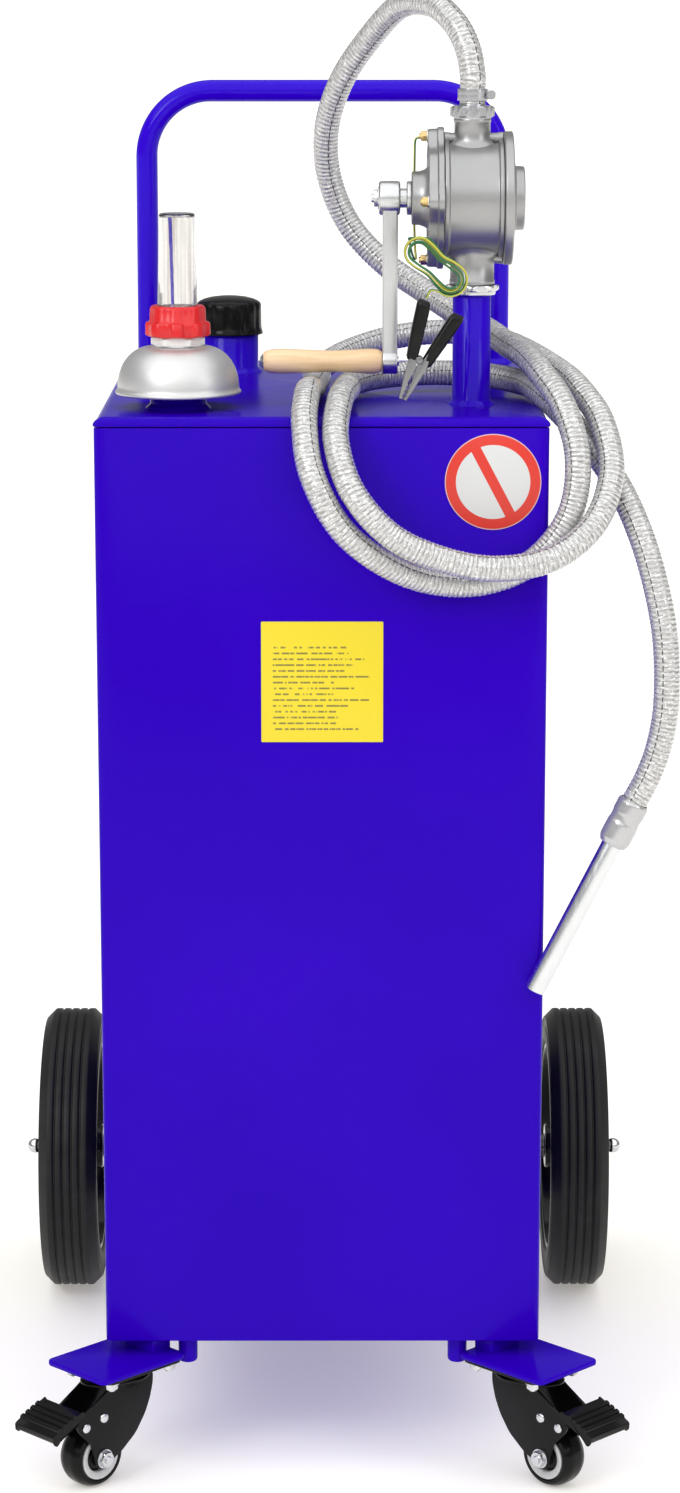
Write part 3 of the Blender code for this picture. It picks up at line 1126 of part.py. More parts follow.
def make_crank(crank):
    shaft_left = CRANK_HUB_LEFT + SHAFT_END_INSET
    rotor = rod("pump_rotor", ROTOR_RADIUS, BARREL_LEFT, BARREL_RIGHT, (0, 0, 0), crank, "X")
    join(rotor, rod("shaft", SHAFT_RADIUS, shaft_left, FLANGE_LEFT + BEARING_DEPTH - GAP,
                    (0, 0, 0), crank, "X"))
    slot_middle = VANE_TIP - VANE_DEPTH / 2
    slot_length = BARREL_LENGTH + 2 * OVERRUN
    barrel_middle = (BARREL_LEFT + BARREL_RIGHT) / 2
    for side, label in ((-1, "b"), (1, "a")):
        cut(rotor, block("slot", (slot_length, VANE_THICKNESS + 2 * GAP, VANE_DEPTH + 2 * GAP),
                         (barrel_middle, 0, side * slot_middle), crank))
        vane = block("vane_" + label, (BARREL_LENGTH, VANE_THICKNESS, VANE_DEPTH),
                     (barrel_middle, 0, side * slot_middle), crank)
        dress(vane, BLACK, 0.5)
    cut(rotor, rod("bolt_hole", BOLT_RADIUS + GAP, shaft_left - OVERRUN, shaft_left + BOLT_LENGTH,
                   (0, 0, 0), crank, "X", sides=SMALL))
    dress(rotor, ZINC, 0.35, 1.0)

    arm = prism("crank_arm", capsule((0, 0), ARM_ROOT_RADIUS, (0, -CRANK_LENGTH), ARM_TIP_RADIUS),
                ARM_THICKNESS, ((ARM_LEFT + ARM_RIGHT) / 2, 0, 0), crank, "X")
    join(arm, rod("hub", CRANK_HUB_RADIUS, CRANK_HUB_LEFT, CRANK_HUB_RIGHT, (0, 0, 0), crank, "X"),
         rod("boss", ARM_BOSS_RADIUS, ARM_LEFT, ARM_RIGHT, (0, 0, -CRANK_LENGTH), crank, "X", sides=MEDIUM))
    cut(arm, rod("shaft_bore", SHAFT_RADIUS + GAP, CRANK_HUB_LEFT - OVERRUN, CRANK_HUB_RIGHT + OVERRUN,
                 (0, 0, 0), crank, "X"),
        rod("spindle_bore", SPINDLE_RADIUS + GAP, ARM_LEFT - OVERRUN, ARM_RIGHT + OVERRUN,
            (0, 0, -CRANK_LENGTH), crank, "X", sides=SMALL))
    dress(arm, SILVER, 0.4, 0.9)

    washer = BOLT_HEAD / 3
    head_right = CRANK_HUB_LEFT - GAP
    head_left = head_right - BOLT_HEAD
    bolt = prism("crank_bolt", polygon(BOLT_ACROSS, 6), BOLT_HEAD, ((head_left + head_right) / 2, 0, 0),
                 crank, "X")
    join(bolt, rod("washer", SHAFT_RADIUS + 2 * washer, head_right - washer, head_right, (0, 0, 0),
                   crank, "X"),
         rod("shank", BOLT_RADIUS, head_right - washer, shaft_left + BOLT_LENGTH - GAP, (0, 0, 0),
             crank, "X", sides=SMALL))
    dress(bolt, ZINC, 0.3, 1.0)

    head = GRIP_LEFT - GAP
    peen = ARM_RIGHT + SPINDLE_HEAD / 2
    spindle = turned("grip_spindle", [
        (0, peen), (SPINDLE_RADIUS, peen), (SPINDLE_RADIUS, head), (SPINDLE_HEAD_RADIUS, head),
        (SPINDLE_HEAD_RADIUS / 2, head - SPINDLE_HEAD), (0, head - SPINDLE_HEAD)],
        (0, 0, -CRANK_LENGTH), crank, "X", steps=SMALL)
    dress(spindle, ZINC, 0.3, 1.0)

    spin = new_empty("grip_spin", (0, 0, -CRANK_LENGTH), crank)
    outside = [(GRIP_RADIUS * radius, GRIP_RIGHT - GRIP_LENGTH * place)
               for radius, place in zip(GRIP_RADIUS_SHARES, GRIP_PLACE_SHARES)]
    bore = SPINDLE_RADIUS + GAP
    grip = turned("crank_grip", outside + [(bore, GRIP_LEFT), (bore, GRIP_RIGHT)], (0, 0, 0), spin, "X",
                  steps=MEDIUM, closed=True)
    dress(grip, WOOD, 0.5)


# Outlet hose
def direction_at(curve, distance):
    ahead, behind = resampled(curve, distance - HOSE_RADIUS / 4, distance + HOSE_RADIUS / 4, 2)
    return (behind - ahead) / np.linalg.norm(behind - ahead)


def hose_stretch(name, curve, start, end, ribs, frame):
    """A ribbed stretch of hose with its bore. Both ends run straight for one diameter, and the
    ribs between are crests and grooves in turn."""
    straight = 2 * HOSE_RADIUS
    first, last = resampled(curve, start, end, 2)
    into = direction_at(curve, max(start, HOSE_RADIUS / 4))
    out = direction_at(curve, min(end, curve_length(curve) - HOSE_RADIUS / 4))
    spacing = (end - start - 2 * straight) / (2 * ribs + 1)
    ribbed = resampled(curve, start + straight + spacing, end - straight - spacing, 2 * ribs)
    points = [first + into * GAP / 2, first + into * straight, *ribbed,
              last - out * straight, last - out * GAP / 2]
    groove = 1 - HOSE_GROOVE / HOSE_RADIUS
    radii = [1, 1] + [groove if number % 2 == 0 else 1 for number in range(2 * ribs)] + [1, 1]
    hose = tube(name, points, HOSE_RADIUS, frame, 2, radii)
    bore_count = max(4, int(2 * ribs * HOSE_BORE_POINTS_SHARE))
    core = resampled(curve, start + straight + spacing, end - straight - spacing, bore_count)
    bore = [first - into * OVERRUN, first + into * straight, *core,
            last - out * straight, last + out * OVERRUN]
    cut(hose, tube(name + "_bore", bore, HOSE_BORE, frame, 2))
    return dress(hose, CLEAR, 0.2, smooth_angle=60)


def make_hose(frame):
    curve = smooth_curve(HOSE_ROUTE, HOSE_CURVE_STEPS)
    length = curve_length(curve)
    print(f"hose length {length:.3f} m, least gap to itself "
          f"{1000 * least_gap(curve[::3], HOSE_RADIUS, 12 * HOSE_RADIUS):.2f} mm")
    joints = [0, length * COIL_START_SHARE, length * COIL_END_SHARE, length]
    for name, start, end in zip(("hose_upper", "hose_coil", "hose_tail"), joints, joints[1:]):
        hose_stretch(name, curve, start, end, round(HOSE_RIBS * (end - start) / length), frame)

    riser = new_empty("outlet", (PUMP_X - OUTLET_SHIFT, PUMP_Y, 0), frame)
    hex_low = OUTLET_TOP + GAP
    hex_high = hex_low + ADAPTOR_HEX_HEIGHT
    adaptor = prism("hose_adaptor", polygon(ADAPTOR_HEX_ACROSS, 6), ADAPTOR_HEX_HEIGHT,
                    (0, 0, (hex_low + hex_high) / 2), riser)
    collar_top = HOSE_BASE - GAP / 2
    stem_low = OUTLET_TOP - BARB_STEM_LENGTH
    barb_top = HOSE_BASE + BARB_LENGTH
    stem = OUTLET_BORE - 2 * GAP - OUTLET_SHIFT
    join(adaptor, turned("barb", [
        (0, barb_top), (BARB_RADIUS - GAP, barb_top), (BARB_RADIUS, barb_top - BARB_RADIUS),
        (BARB_RADIUS, collar_top), (HOSE_RADIUS, collar_top), (HOSE_RADIUS, hex_high - GAP),
        (stem, hex_low + GAP), (stem, stem_low), (0, stem_low)], (0, 0, 0), riser, steps=MEDIUM))
    cut(adaptor, rod("flow", BARB_BORE, stem_low - OVERRUN, barb_top + OVERRUN, (0, 0, 0), riser,
                     sides=SMALL))
    dress(adaptor, ZINC, 0.3, 1.0)

    band_low = HOSE_BASE + BAND_LIFT
    band_bore = HOSE_RADIUS + 2 * GAP
    band_radius = band_bore + BAND_THICKNESS
    band = turned("hose_clamp", [
        (band_radius, band_low + BAND_WIDTH), (band_radius, band_low), (band_bore, band_low),
        (band_bore, band_low + BAND_WIDTH)], (0, 0, 0), riser, steps=MEDIUM, closed=True)
    worm_x = band_radius + WORM_RADIUS - BAND_THICKNESS / 2
    worm_z = band_low + BAND_WIDTH / 2
    join(band, rod("worm", WORM_RADIUS, -WORM_LENGTH / 2, WORM_LENGTH / 2, (worm_x, 0, worm_z), riser,
                   Vector((0, 1, 0)), sides=SMALL))
    dress(band, ZINC, 0.25, 1.0)

    end = Vector(HOSE_ROUTE[-1])
    upward = (Vector(HOSE_ROUTE[-2]) - end).normalized()
    low = CUFF_HOSE_DEPTH - CUFF_LENGTH
    outside = [(CUFF_RADIUS * radius, CUFF_HOSE_DEPTH - CUFF_LENGTH * place)
               for radius, place in zip(CUFF_CRIMP_SHARES, CUFF_PLACE_SHARES)]
    hose_bore = HOSE_RADIUS + 2 * GAP
    spout_bore = SPOUT_RADIUS + GAP
    shoulder = -GAP
    cuff = turned("hose_cuff", outside + [
        (spout_bore, low), (spout_bore, shoulder), (hose_bore, shoulder), (hose_bore, CUFF_HOSE_DEPTH)],
        end, frame, upward, steps=MEDIUM, closed=True)
    dress(cuff, CLEAR, 0.3)
    spout_top = 2 * shoulder
    spout = turned("spout", [
        (SPOUT_RADIUS, spout_top), (SPOUT_RADIUS, -SPOUT_LENGTH), (SPOUT_BORE, -SPOUT_LENGTH),
        (SPOUT_BORE, spout_top)], end, frame, upward, steps=MEDIUM, closed=True)
    dress(spout, SILVER, 0.3, 1.0)


# Earth wire and clamp
def hank_point(turns):
    """A point along the hank's winding, in its own plane: stadium loops that step inwards to the
    middle turn, cross to the front layer there, and step out again."""
    middle = HANK_LOOPS / 2
    inward = WIRE_PITCH * min(turns, HANK_LOOPS - turns)
    half_width = HANK_WIDTH / 2 - inward
    run = HANK_LENGTH / 2 - HANK_WIDTH / 2
    outline = 4 * run + 2 * math.pi * half_width
    travel = (turns % 1) * outline - run
    arc_length = math.pi * half_width
    if travel < run:
        along, across = travel, half_width
    elif travel < run + arc_length:
        angle = (travel - run) / half_width
        along, across = run + half_width * math.sin(angle), half_width * math.cos(angle)
    elif travel < 3 * run + arc_length:
        along, across = 2 * run + arc_length - travel, -half_width
    else:
        angle = (travel - 3 * run - arc_length) / half_width
        along, across = -run - half_width * math.sin(angle), -half_width * math.cos(angle)
    waist = 1 - HANK_WAIST_SHARE * math.exp(-(along / (run / 2)) ** 2)
    climb = min(max((turns - middle) * 2 + 0.5, 0), 1)
    depth = WIRE_PITCH * (0.5 - climb)
    return along, across * waist, depth


def make_wire(frame):
    """The earth wire from its terminal into the hank, and from the hank down to the clamp."""
    count = round(HANK_LOOPS * HANK_POINTS)
    cosine, sine = math.cos(HANK_TILT), math.sin(HANK_TILT)
    hank = []
    for number in range(count + 1):
        along, across, depth = hank_point(HANK_LOOPS * number / count)
        hank.append((HANK_X + along * cosine + across * sine, HANK_Y + depth,
                     HANK_Z - along * sine + across * cosine))
    lead_in = smooth_curve([*WIRE_ROUTE, hank[0], hank[1]], WIRE_CURVE_STEPS)[:-WIRE_CURVE_STEPS - 1]
    winding = np.array([*lead_in, *hank])
    print(f"wire hank {curve_length(winding):.3f} m, least gap to itself "
          f"{1000 * least_gap(winding, WIRE_RADIUS, 8 * WIRE_RADIUS):.2f} mm")
    dress(tube("wire_hank", winding, WIRE_RADIUS, frame, 1), GREEN, 0.5)

    handle_end = clamp_to_world((-CLAMP_HANDLE_SPREAD, 0, CLAMP_HANDLE_LENGTH + GAP))
    exit_way = Vector(hank[-1]) - Vector(hank[-2])
    exit_way.normalize()
    start = Vector(hank[-1]) + exit_way * GAP
    straight = 2 * WIRE_RADIUS
    approach = (clamp_to_world((0, 0, CLAMP_HANDLE_LENGTH)) - clamp_to_world((0, 0, 0))).normalized()
    above = handle_end + approach * 3 * straight
    middle = (start + exit_way * 3 * straight + above) / 2
    knots = [start, start + exit_way * straight, middle, above, handle_end + approach * straight,
             handle_end]
    lead = smooth_curve([tuple(knot) for knot in knots], WIRE_CURVE_STEPS)
    print(f"wire lead {curve_length(lead):.3f} m")
    dress(tube("wire_lead", lead, WIRE_RADIUS, frame, 1), GREEN, 0.5)


def clamp_to_world(point):
    lean = Matrix.Rotation(CLAMP_LEAN, 3, "Y")
    return Vector((CLAMP_X, CLAMP_Y, CLAMP_Z)) + lean @ Vector(point)


def clamp_half(side):
    """One handle and jaw, on its own side of the clamp's middle, with its teeth."""
    inner = GAP
    handle_inner = CLAMP_HANDLE_SPREAD - CLAMP_HANDLE_WIDTH / 2
    throat = CLAMP_THROAT
    outline = [(CLAMP_JAW_TIP, -CLAMP_JAW_LENGTH), (CLAMP_HALF_WIDTH, -throat),
               (CLAMP_HALF_WIDTH, throat),
               (CLAMP_HANDLE_SPREAD + CLAMP_HANDLE_WIDTH / 2, CLAMP_HANDLE_LENGTH),
               (handle_inner, CLAMP_HANDLE_LENGTH),
               (CLAMP_KNUCKLE_RADIUS * DIAGONAL, CLAMP_KNUCKLE_RADIUS * DIAGONAL), (inner, -throat)]
    step = (CLAMP_JAW_LENGTH - throat) / 2 / CLAMP_TEETH
    start = CLAMP_JAW_LENGTH - 2 * step * CLAMP_TEETH / 2
    for tooth in range(CLAMP_TEETH):
        height = -start - tooth * step
        outline += [(inner + CLAMP_TOOTH, height), (inner, height - step / 2)]
    outline.append((inner, -CLAMP_JAW_LENGTH))
    return [(side * across, up) for across, up in outline]


def make_clamp(frame):
    clamp = new_empty("clamp", (CLAMP_X, CLAMP_Y, CLAMP_Z), frame, (0, CLAMP_LEAN, 0))
    depthwise = Vector((0, 1, 0))
    wide = CLAMP_THICKNESS + 2 * (GAP + CLAMP_LUG)
    body = prism("clamp_body", clamp_half(-1), wide, (0, 0, 0), clamp, "FRONT")
    clear = CLAMP_THICKNESS / 2 + GAP
    join(body, prism("lugs", capsule((0, 0), CLAMP_KNUCKLE_RADIUS - GAP,
                                     (-CLAMP_KNUCKLE_RADIUS, 0), CLAMP_KNUCKLE_RADIUS - 2 * GAP,
                                     DOME_STEPS),
                     wide - 2 * GAP, (0, 0, 0), clamp, "FRONT"))
    cut(body, rod("knuckle_space", CLAMP_KNUCKLE_RADIUS + GAP, -clear, clear, (0, 0, 0), clamp, depthwise,
                  sides=SMALL))
    join(body, rod("rivet", CLAMP_RIVET_RADIUS, -wide / 2 - GAP, wide / 2 + GAP, (0, 0, 0), clamp,
                   depthwise, sides=SMALL))
    dress(body, BLACK, 0.5)

    hinge = new_empty("jaw_hinge", (0, 0, 0), clamp)
    jaw = prism("clamp_jaw", clamp_half(1), CLAMP_THICKNESS, (0, 0, 0), hinge, "FRONT")
    half = CLAMP_THICKNESS / 2
    join(jaw, rod("knuckle", CLAMP_KNUCKLE_RADIUS - GAP, -half, half, (0, 0, 0), hinge, depthwise,
                  sides=SMALL))
    cut(jaw, rod("rivet_hole", CLAMP_RIVET_RADIUS + GAP, -half - OVERRUN, half + OVERRUN, (0, 0, 0),
                 hinge, depthwise, sides=SMALL))
    dress(jaw, BLACK, 0.5)


clear_scene()
PARTS = new_collection("fuel_caddy")
CUTTERS = new_collection("cutters")
CADDY = new_empty("fuel_caddy_origin", (0, -MIDDLE_Y, 0))
make_tank(CADDY)
make_handle(CADDY)
make_axle(CADDY)
for caster_side, caster_label in ((-1, "left"), (1, "right")):
    make_caster(caster_side, caster_label, CADDY)
make_gauge(CADDY)
make_filler(CADDY)
make_pump(CADDY)
make_hose(CADDY)
make_wire(CADDY)
make_clamp(CADDY)
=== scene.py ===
"""Looks of a fuel caddy: enamelled steel tank, cast hand pump, looped clear hose and running gear.

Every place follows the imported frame. Lengths are metres in the frame's own axes: X to the right,
Y to the rear, Z up. Each piece is a closed surface worked out with numpy, and each finish is procedural.
"""
import logging
import math
from dataclasses import dataclass
from enum import Enum
from typing import Callable, Optional, Sequence, Union

import bmesh
import bpy
import numpy as np
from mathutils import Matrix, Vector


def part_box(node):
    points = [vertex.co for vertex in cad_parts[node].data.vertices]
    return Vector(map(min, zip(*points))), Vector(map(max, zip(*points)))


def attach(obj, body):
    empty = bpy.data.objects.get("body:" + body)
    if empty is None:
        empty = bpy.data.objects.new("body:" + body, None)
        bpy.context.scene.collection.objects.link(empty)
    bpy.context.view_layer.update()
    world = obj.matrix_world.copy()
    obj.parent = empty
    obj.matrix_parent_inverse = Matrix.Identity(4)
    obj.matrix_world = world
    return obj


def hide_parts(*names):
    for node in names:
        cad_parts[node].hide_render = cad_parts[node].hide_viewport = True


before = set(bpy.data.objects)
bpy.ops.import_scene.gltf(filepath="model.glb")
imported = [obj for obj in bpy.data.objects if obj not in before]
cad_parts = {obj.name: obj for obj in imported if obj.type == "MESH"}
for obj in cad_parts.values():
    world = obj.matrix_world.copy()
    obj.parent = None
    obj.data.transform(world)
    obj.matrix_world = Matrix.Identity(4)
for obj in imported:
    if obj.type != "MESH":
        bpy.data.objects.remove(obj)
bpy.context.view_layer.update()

LOG = logging.getLogger("fuel_caddy")
Triple = tuple[float, float, float]
Profile = list[tuple[float, float]]
Section = tuple[tuple[float, ...], ...]
TURN = 2 * math.pi
QUARTER = math.pi / 2

FRONT_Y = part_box("tank_wrap")[0].y
LID_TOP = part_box("tank_top")[1].z
GAUGE_SPOT = (-0.112, -0.1895788)
FILLER_SPOT = (-0.08, 0.0874212)
SHAFT_Y = -0.1650788
SHAFT_Z = 1.0177
INLET_X = 0.1175
HAIR = 0.0003
WELD_DISTANCE = 1e-7


# Places and closed surfaces
class Facing(Enum):
    """The three directions, across, up and along, in which a local shape is laid."""

    UP = ((1, 0, 0), (0, 1, 0), (0, 0, 1))
    RIGHT = ((0, 1, 0), (0, 0, 1), (1, 0, 0))
    FRONT = ((1, 0, 0), (0, 0, 1), (0, -1, 0))


@dataclass(frozen=True)
class Place:
    """Where a local shape sits: its origin and the rows of its three directions."""

    origin: Triple
    rows: tuple = Facing.UP.value

    @classmethod
    def at(cls, x: float, y: float, z: float, facing: Facing = Facing.UP) -> "Place":
        """A place with one of the plain facings."""
        return cls((x, y, z), facing.value)

    @classmethod
    def toward(cls, origin: Sequence[float], along: Sequence[float]) -> "Place":
        """A place whose along direction is given.

        Args:
            origin: the point where the local shape has its origin.
            along: the direction that the local third axis takes.

        Returns:
            The place, with its other two directions square to it.
        """
        third = np.array(along, float) / np.linalg.norm(along)
        helper = np.array((0.0, 1.0, 0.0)) if abs(third[1]) < 0.9 else np.array((1.0, 0.0, 0.0))
        first = np.cross(helper, third)
        first /= np.linalg.norm(first)
        second = np.cross(third, first)
        return cls(tuple(float(v) for v in origin), (tuple(first), tuple(second), tuple(third)))

    def put(self, points: np.ndarray) -> np.ndarray:
        """Local points in the frame's axes: the origin plus each coordinate times its direction."""
        return np.asarray(self.origin) + np.asarray(points) @ np.asarray(self.rows, float)


@dataclass
class Shell:
    """A grid of points whose columns close round and whose rows end in caps or in a loop.

    A face joins neighbouring rows and columns; a row squeezed to one point is a pole.
    """

    grid: np.ndarray
    looped: bool = False
    lengths: Optional[np.ndarray] = None

    def corners(self) -> np.ndarray:
        """The four vertex numbers of each face.

        Returns:
            The numbers of (row, column) and its three neighbours, one row to a face.
        """
        rows, columns = self.grid.shape[:2]
        upper = np.arange(rows if self.looped else rows - 1)[:, None]
        left = np.arange(columns)[None]
        lower, right = (upper + 1) % rows, (left + 1) % columns
        quads = [upper * columns + left, upper * columns + right, lower * columns + right,
                 lower * columns + left]
        return np.stack(np.broadcast_arrays(*quads), axis=-1).reshape(-1, 4)

    def patches(self) -> np.ndarray:
        """The UV pairs of the faces' corners.

        Returns:
            The share of the turn and the length along the rows, four pairs to a face.
        """
        rows, columns = self.grid.shape[:2]
        count = rows if self.looped else rows - 1
        places = np.arange(rows + 1.0) if self.lengths is None else np.append(self.lengths, self.lengths[-1])
        upper, left = np.meshgrid(np.arange(count), np.arange(columns), indexing="ij")
        across = np.stack([left, left + 1, left + 1, left], axis=-1) / columns
        along = places[np.stack([upper, upper, upper + 1, upper + 1], axis=-1)]
        return np.stack([across, along], axis=-1).reshape(-1, 4, 2)

    def volume(self) -> float:
        """The signed volume under the faces.

        Returns:
            The sum of the tetrahedra from the middle to each half of a face, and to the caps.
        """
        points = self.grid.reshape(-1, 3) - self.grid.reshape(-1, 3).mean(axis=0)
        a, b, c, d = (points[self.corners()[:, k]] for k in range(4))
        total = sum(np.einsum("ij,ij->i", a, np.cross(*pair)).sum() for pair in ((b, c), (c, d)))
        if not self.looped:
            for row, sign in ((self.grid[0], -1), (self.grid[-1], 1)):
                ring = row - self.grid.reshape(-1, 3).mean(axis=0)
                middle = ring.mean(axis=0)
                total += sign * np.dot(middle, np.cross(ring, np.roll(ring, -1, axis=0)).sum(axis=0))
        return float(total) / 6


def linked(name: str, data: Optional[bpy.types.ID]) -> bpy.types.Object:
    """An object with its data, in the scene.

    Args:
        name: the object's name.
        data: its mesh, camera or lamp.

    Returns:
        The object.
    """
    made = bpy.data.objects.new(name, data)
    bpy.context.scene.collection.objects.link(made)
    return made


def build_piece(name: str, shells: Sequence[Shell], finish: "Finish", body: str = "tank",
                replaces: Sequence[str] = (), sharp: float = 35.0,
                weld: bool = True) -> bpy.types.Object:
    """One object from closed shells, faces outwards, dressed and riding on its body.

    Args:
        name: the piece's name.
        shells: the closed surfaces that it is made of.
        finish: what it is finished in.
        body: the body of the frame that carries it.
        replaces: the frame's nodes that it stands for.
        sharp: the angle in degrees past which an edge is shaded sharp.
        weld: whether poles are squeezed to single points.

    Returns:
        The object.
    """
    points, faces, patches, offset = [], [], [], 0
    for shell in shells:
        flat = shell.grid.reshape(-1, 3)
        quads, uv = shell.corners(), shell.patches()
        columns = shell.grid.shape[1]
        last = len(flat) - columns
        caps = [] if shell.looped else [list(range(columns))[::-1], list(range(last, len(flat)))]
        if shell.volume() < 0:
            quads, uv, caps = quads[:, ::-1], uv[:, ::-1], [cap[::-1] for cap in caps]
        faces += (quads + offset).tolist() + [[offset + v for v in cap] for cap in caps]
        patches += [uv.reshape(-1, 2)] + [np.zeros((columns, 2)) for _ in caps]
        points.append(flat)
        offset += len(flat)
    mesh = bpy.data.meshes.new(name)
    mesh.from_pydata(np.concatenate(points).tolist(), [], faces)
    layer = mesh.uv_layers.new(name="UVMap")
    layer.data.foreach_set("uv", np.concatenate(patches).astype(np.float32).ravel())
    if weld:
        work = bmesh.new()
        work.from_mesh(mesh)
        bmesh.ops.remove_doubles(work, verts=work.verts, dist=WELD_DISTANCE)
        work.to_mesh(mesh)
        work.free()
    mesh.shade_smooth()
    mesh.set_sharp_from_angle(angle=math.radians(sharp))
    mesh.materials.append(finish.material())
    piece = linked(name, mesh)
    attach(piece, body)
    if replaces:
        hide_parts(*replaces)
    LOG.info("made %s on %s", name, body)
    return piece


def dress_node(node: str, finish: "Finish") -> None:
    """Give one of the frame's own nodes a finish in place of its plain material.

    Args:
        node: the node's name.
        finish: what it is finished in.
    """
    materials = bpy.data.objects[node].data.materials
    materials.clear()
    materials.append(finish.material())
    LOG.info("dressed %s", node)


def circle(sides: int) -> np.ndarray:
    """The angles of a ring with as many columns, from zero up to, and without, one turn."""
    return np.arange(sides) * TURN / sides


def around(profile: Sequence[Sequence[float]], radii: Callable[[np.ndarray, np.ndarray], np.ndarray],
           place: Place, sides: int, looped: bool = False) -> Shell:
    """A skin round the along direction, whose radius depends on the profile and on the angle.

    Args:
        profile: rows of (radius, height, ...) from one end to the other.
        radii: a function of the profile's rows and the angles that gives each point's radius.
        place: where it sits.
        sides: how many columns.
        looped: whether the last row meets the first.

    Returns:
        The shell with the points (r cos a, r sin a, height).
    """
    rows, angles = np.array(profile, float), circle(sides)
    reach = radii(rows, angles)
    heights = np.broadcast_to(rows[:, 1:2], reach.shape)
    points = np.stack([reach * np.cos(angles), reach * np.sin(angles), heights], axis=-1)
    return Shell(place.put(points), looped)


def revolved(profile: Sequence[Sequence[float]], place: Place, sides: int, looped: bool = False) -> Shell:
    """A turned form: the profile's radius is the same all round."""
    return around(profile, lambda rows, angles: rows[:, :1] + 0 * angles[None], place, sides, looped)


def rounded(profile: Sequence[Sequence[float]], radius: float, steps: int = 4,
            closed: bool = False) -> Profile:
    """A profile with its corners rounded by quadratic curves through points set back along both sides.

    Args:
        profile: the corners.
        radius: how far each curve starts from its corner, at most 0.45 of a side.
        steps: how many points each curve has, less one.
        closed: whether the last corner joins the first.

    Returns:
        The rounded profile.
    """
    corners = np.array(profile, float)
    count = len(corners)
    curve = []
    share = np.linspace(0, 1, steps + 1)[:, None]
    for number, corner in enumerate(corners):
        if not closed and number in (0, count - 1):
            curve.append(corner[None])
            continue
        before, after = corners[number - 1] - corner, corners[(number + 1) % count] - corner
        spans = np.linalg.norm(before), np.linalg.norm(after)
        back = min(radius, 0.45 * spans[0], 0.45 * spans[1])
        start, end = corner + before / spans[0] * back, corner + after / spans[1] * back
        curve.append((1 - share) ** 2 * start + 2 * share * (1 - share) * corner + share ** 2 * end)
    return [tuple(point) for point in np.concatenate(curve)]


def turned(profile: Sequence[Sequence[float]], radius: float, place: Place, sides: int, steps: int = 4,
           looped: bool = False) -> Shell:
    """A turned form whose corners are rounded, each from radius away, in as many steps as given."""
    return revolved(rounded(profile, radius, steps, looped), place, sides, looped)


def disc(reach: float, low: float, high: float, place: Place, sides: int, edge: float = 0.0,
         steps: int = 4) -> Shell:
    """A solid disc or pin from one height to another, its rims rounded if an edge is given."""
    profile = [(0.0, low), (reach, low), (reach, high), (0.0, high)]
    return turned(profile, edge, place, sides, steps) if edge else revolved(profile, place, sides)


def mirrored(half: Sequence[Sequence[float]]) -> Profile:
    """Half a section of (radius, height), followed by its mirror image across height zero."""
    return [*half, *((radius, -height) for radius, height in half[::-1])]


def inset(outline: np.ndarray, distance: float) -> np.ndarray:
    """An anticlockwise outline moved inwards: each point goes along its corner's mitre.

    Args:
        outline: the points.
        distance: how far the sides move.

    Returns:
        The moved points.
    """
    before, after = outline - np.roll(outline, 1, axis=0), np.roll(outline, -1, axis=0) - outline
    normals = [np.stack([-edge[:, 1], edge[:, 0]], axis=-1) / np.linalg.norm(edge, axis=1, keepdims=True)
               for edge in (before, after)]
    mitre = normals[0] + normals[1]
    scale = 1 + np.einsum("ij,ij->i", *normals)
    return outline + distance * mitre / np.maximum(scale, 0.5)[:, None]


def extruded(outline: Sequence[Sequence[float]], low: float, high: float, place: Place,
             bevel: float = 0.0005, steps: int = 3) -> Shell:
    """A flat outline carried along, with rounded rims: near each end it draws in along a quarter circle.

    Args:
        outline: the anticlockwise outline in the across and up directions.
        low: where it starts along the third direction.
        high: where it ends.
        place: where it sits.
        bevel: the radius of the rims.
        steps: the faces round each rim.

    Returns:
        The shell.
    """
    flat = np.array(outline, float)
    angles = np.linspace(0, QUARTER, steps + 1)
    draws, heights = bevel * (1 - np.sin(angles)), bevel * (1 - np.cos(angles))
    rings = [(draw, low + height) for draw, height in zip(draws, heights)]
    rings += [(draw, high - height) for draw, height in zip(draws[::-1], heights[::-1])]
    rows = [np.column_stack([inset(flat, draw), np.full(len(flat), height)]) for draw, height in rings]
    return Shell(place.put(np.stack(rows)))


def many_sided(sides: int, across: float, low: float, high: float, place: Place, chamfer: float = 0.0006,
               columns: int = 8) -> Shell:
    """A nut's form: the radius is the flat's distance over the cosine of the angle to it, cut by cones.

    Args:
        sides: how many flats.
        across: the size over two opposite corners.
        low: the lower end.
        high: the upper end.
        place: where it sits.
        chamfer: the height of the cones that cut the corners.
        columns: how many columns each flat has.

    Returns:
        The shell.
    """
    flat = across / 2 * math.cos(math.pi / sides)
    corner = across / 2
    rows = [(0.94 * flat, low), (flat * 1.01, low), (corner, low + chamfer), (corner, high - chamfer),
            (flat * 1.01, high), (0.94 * flat, high)]

    def radii(levels: np.ndarray, angles: np.ndarray) -> np.ndarray:
        """The lesser of the flat's reach and the cone's radius."""
        off = (angles + math.pi / sides) % (TURN / sides) - math.pi / sides
        return np.minimum(flat / np.cos(math.pi / sides - np.abs(off))[None], levels[:, :1])

    return around(rows, radii, place, sides * columns)


def rounded_rectangle(width: float, depth: float, radius: float, steps: int = 6) -> np.ndarray:
    """The outline of a rectangle with round corners, anticlockwise: four quarter circles.

    Args:
        width: its size across.
        depth: its size up.
        radius: the corners' radius.
        steps: the sides of each quarter circle.

    Returns:
        The points.
    """
    angles = np.concatenate([np.linspace(0, QUARTER, steps + 1) + k * QUARTER for k in range(4)])
    signs = np.repeat([(1, 1), (-1, 1), (-1, -1), (1, -1)], steps + 1, axis=0)
    middle = signs * (np.array((width, depth)) / 2 - radius)
    return middle + radius * np.stack([np.cos(angles), np.sin(angles)], axis=-1)


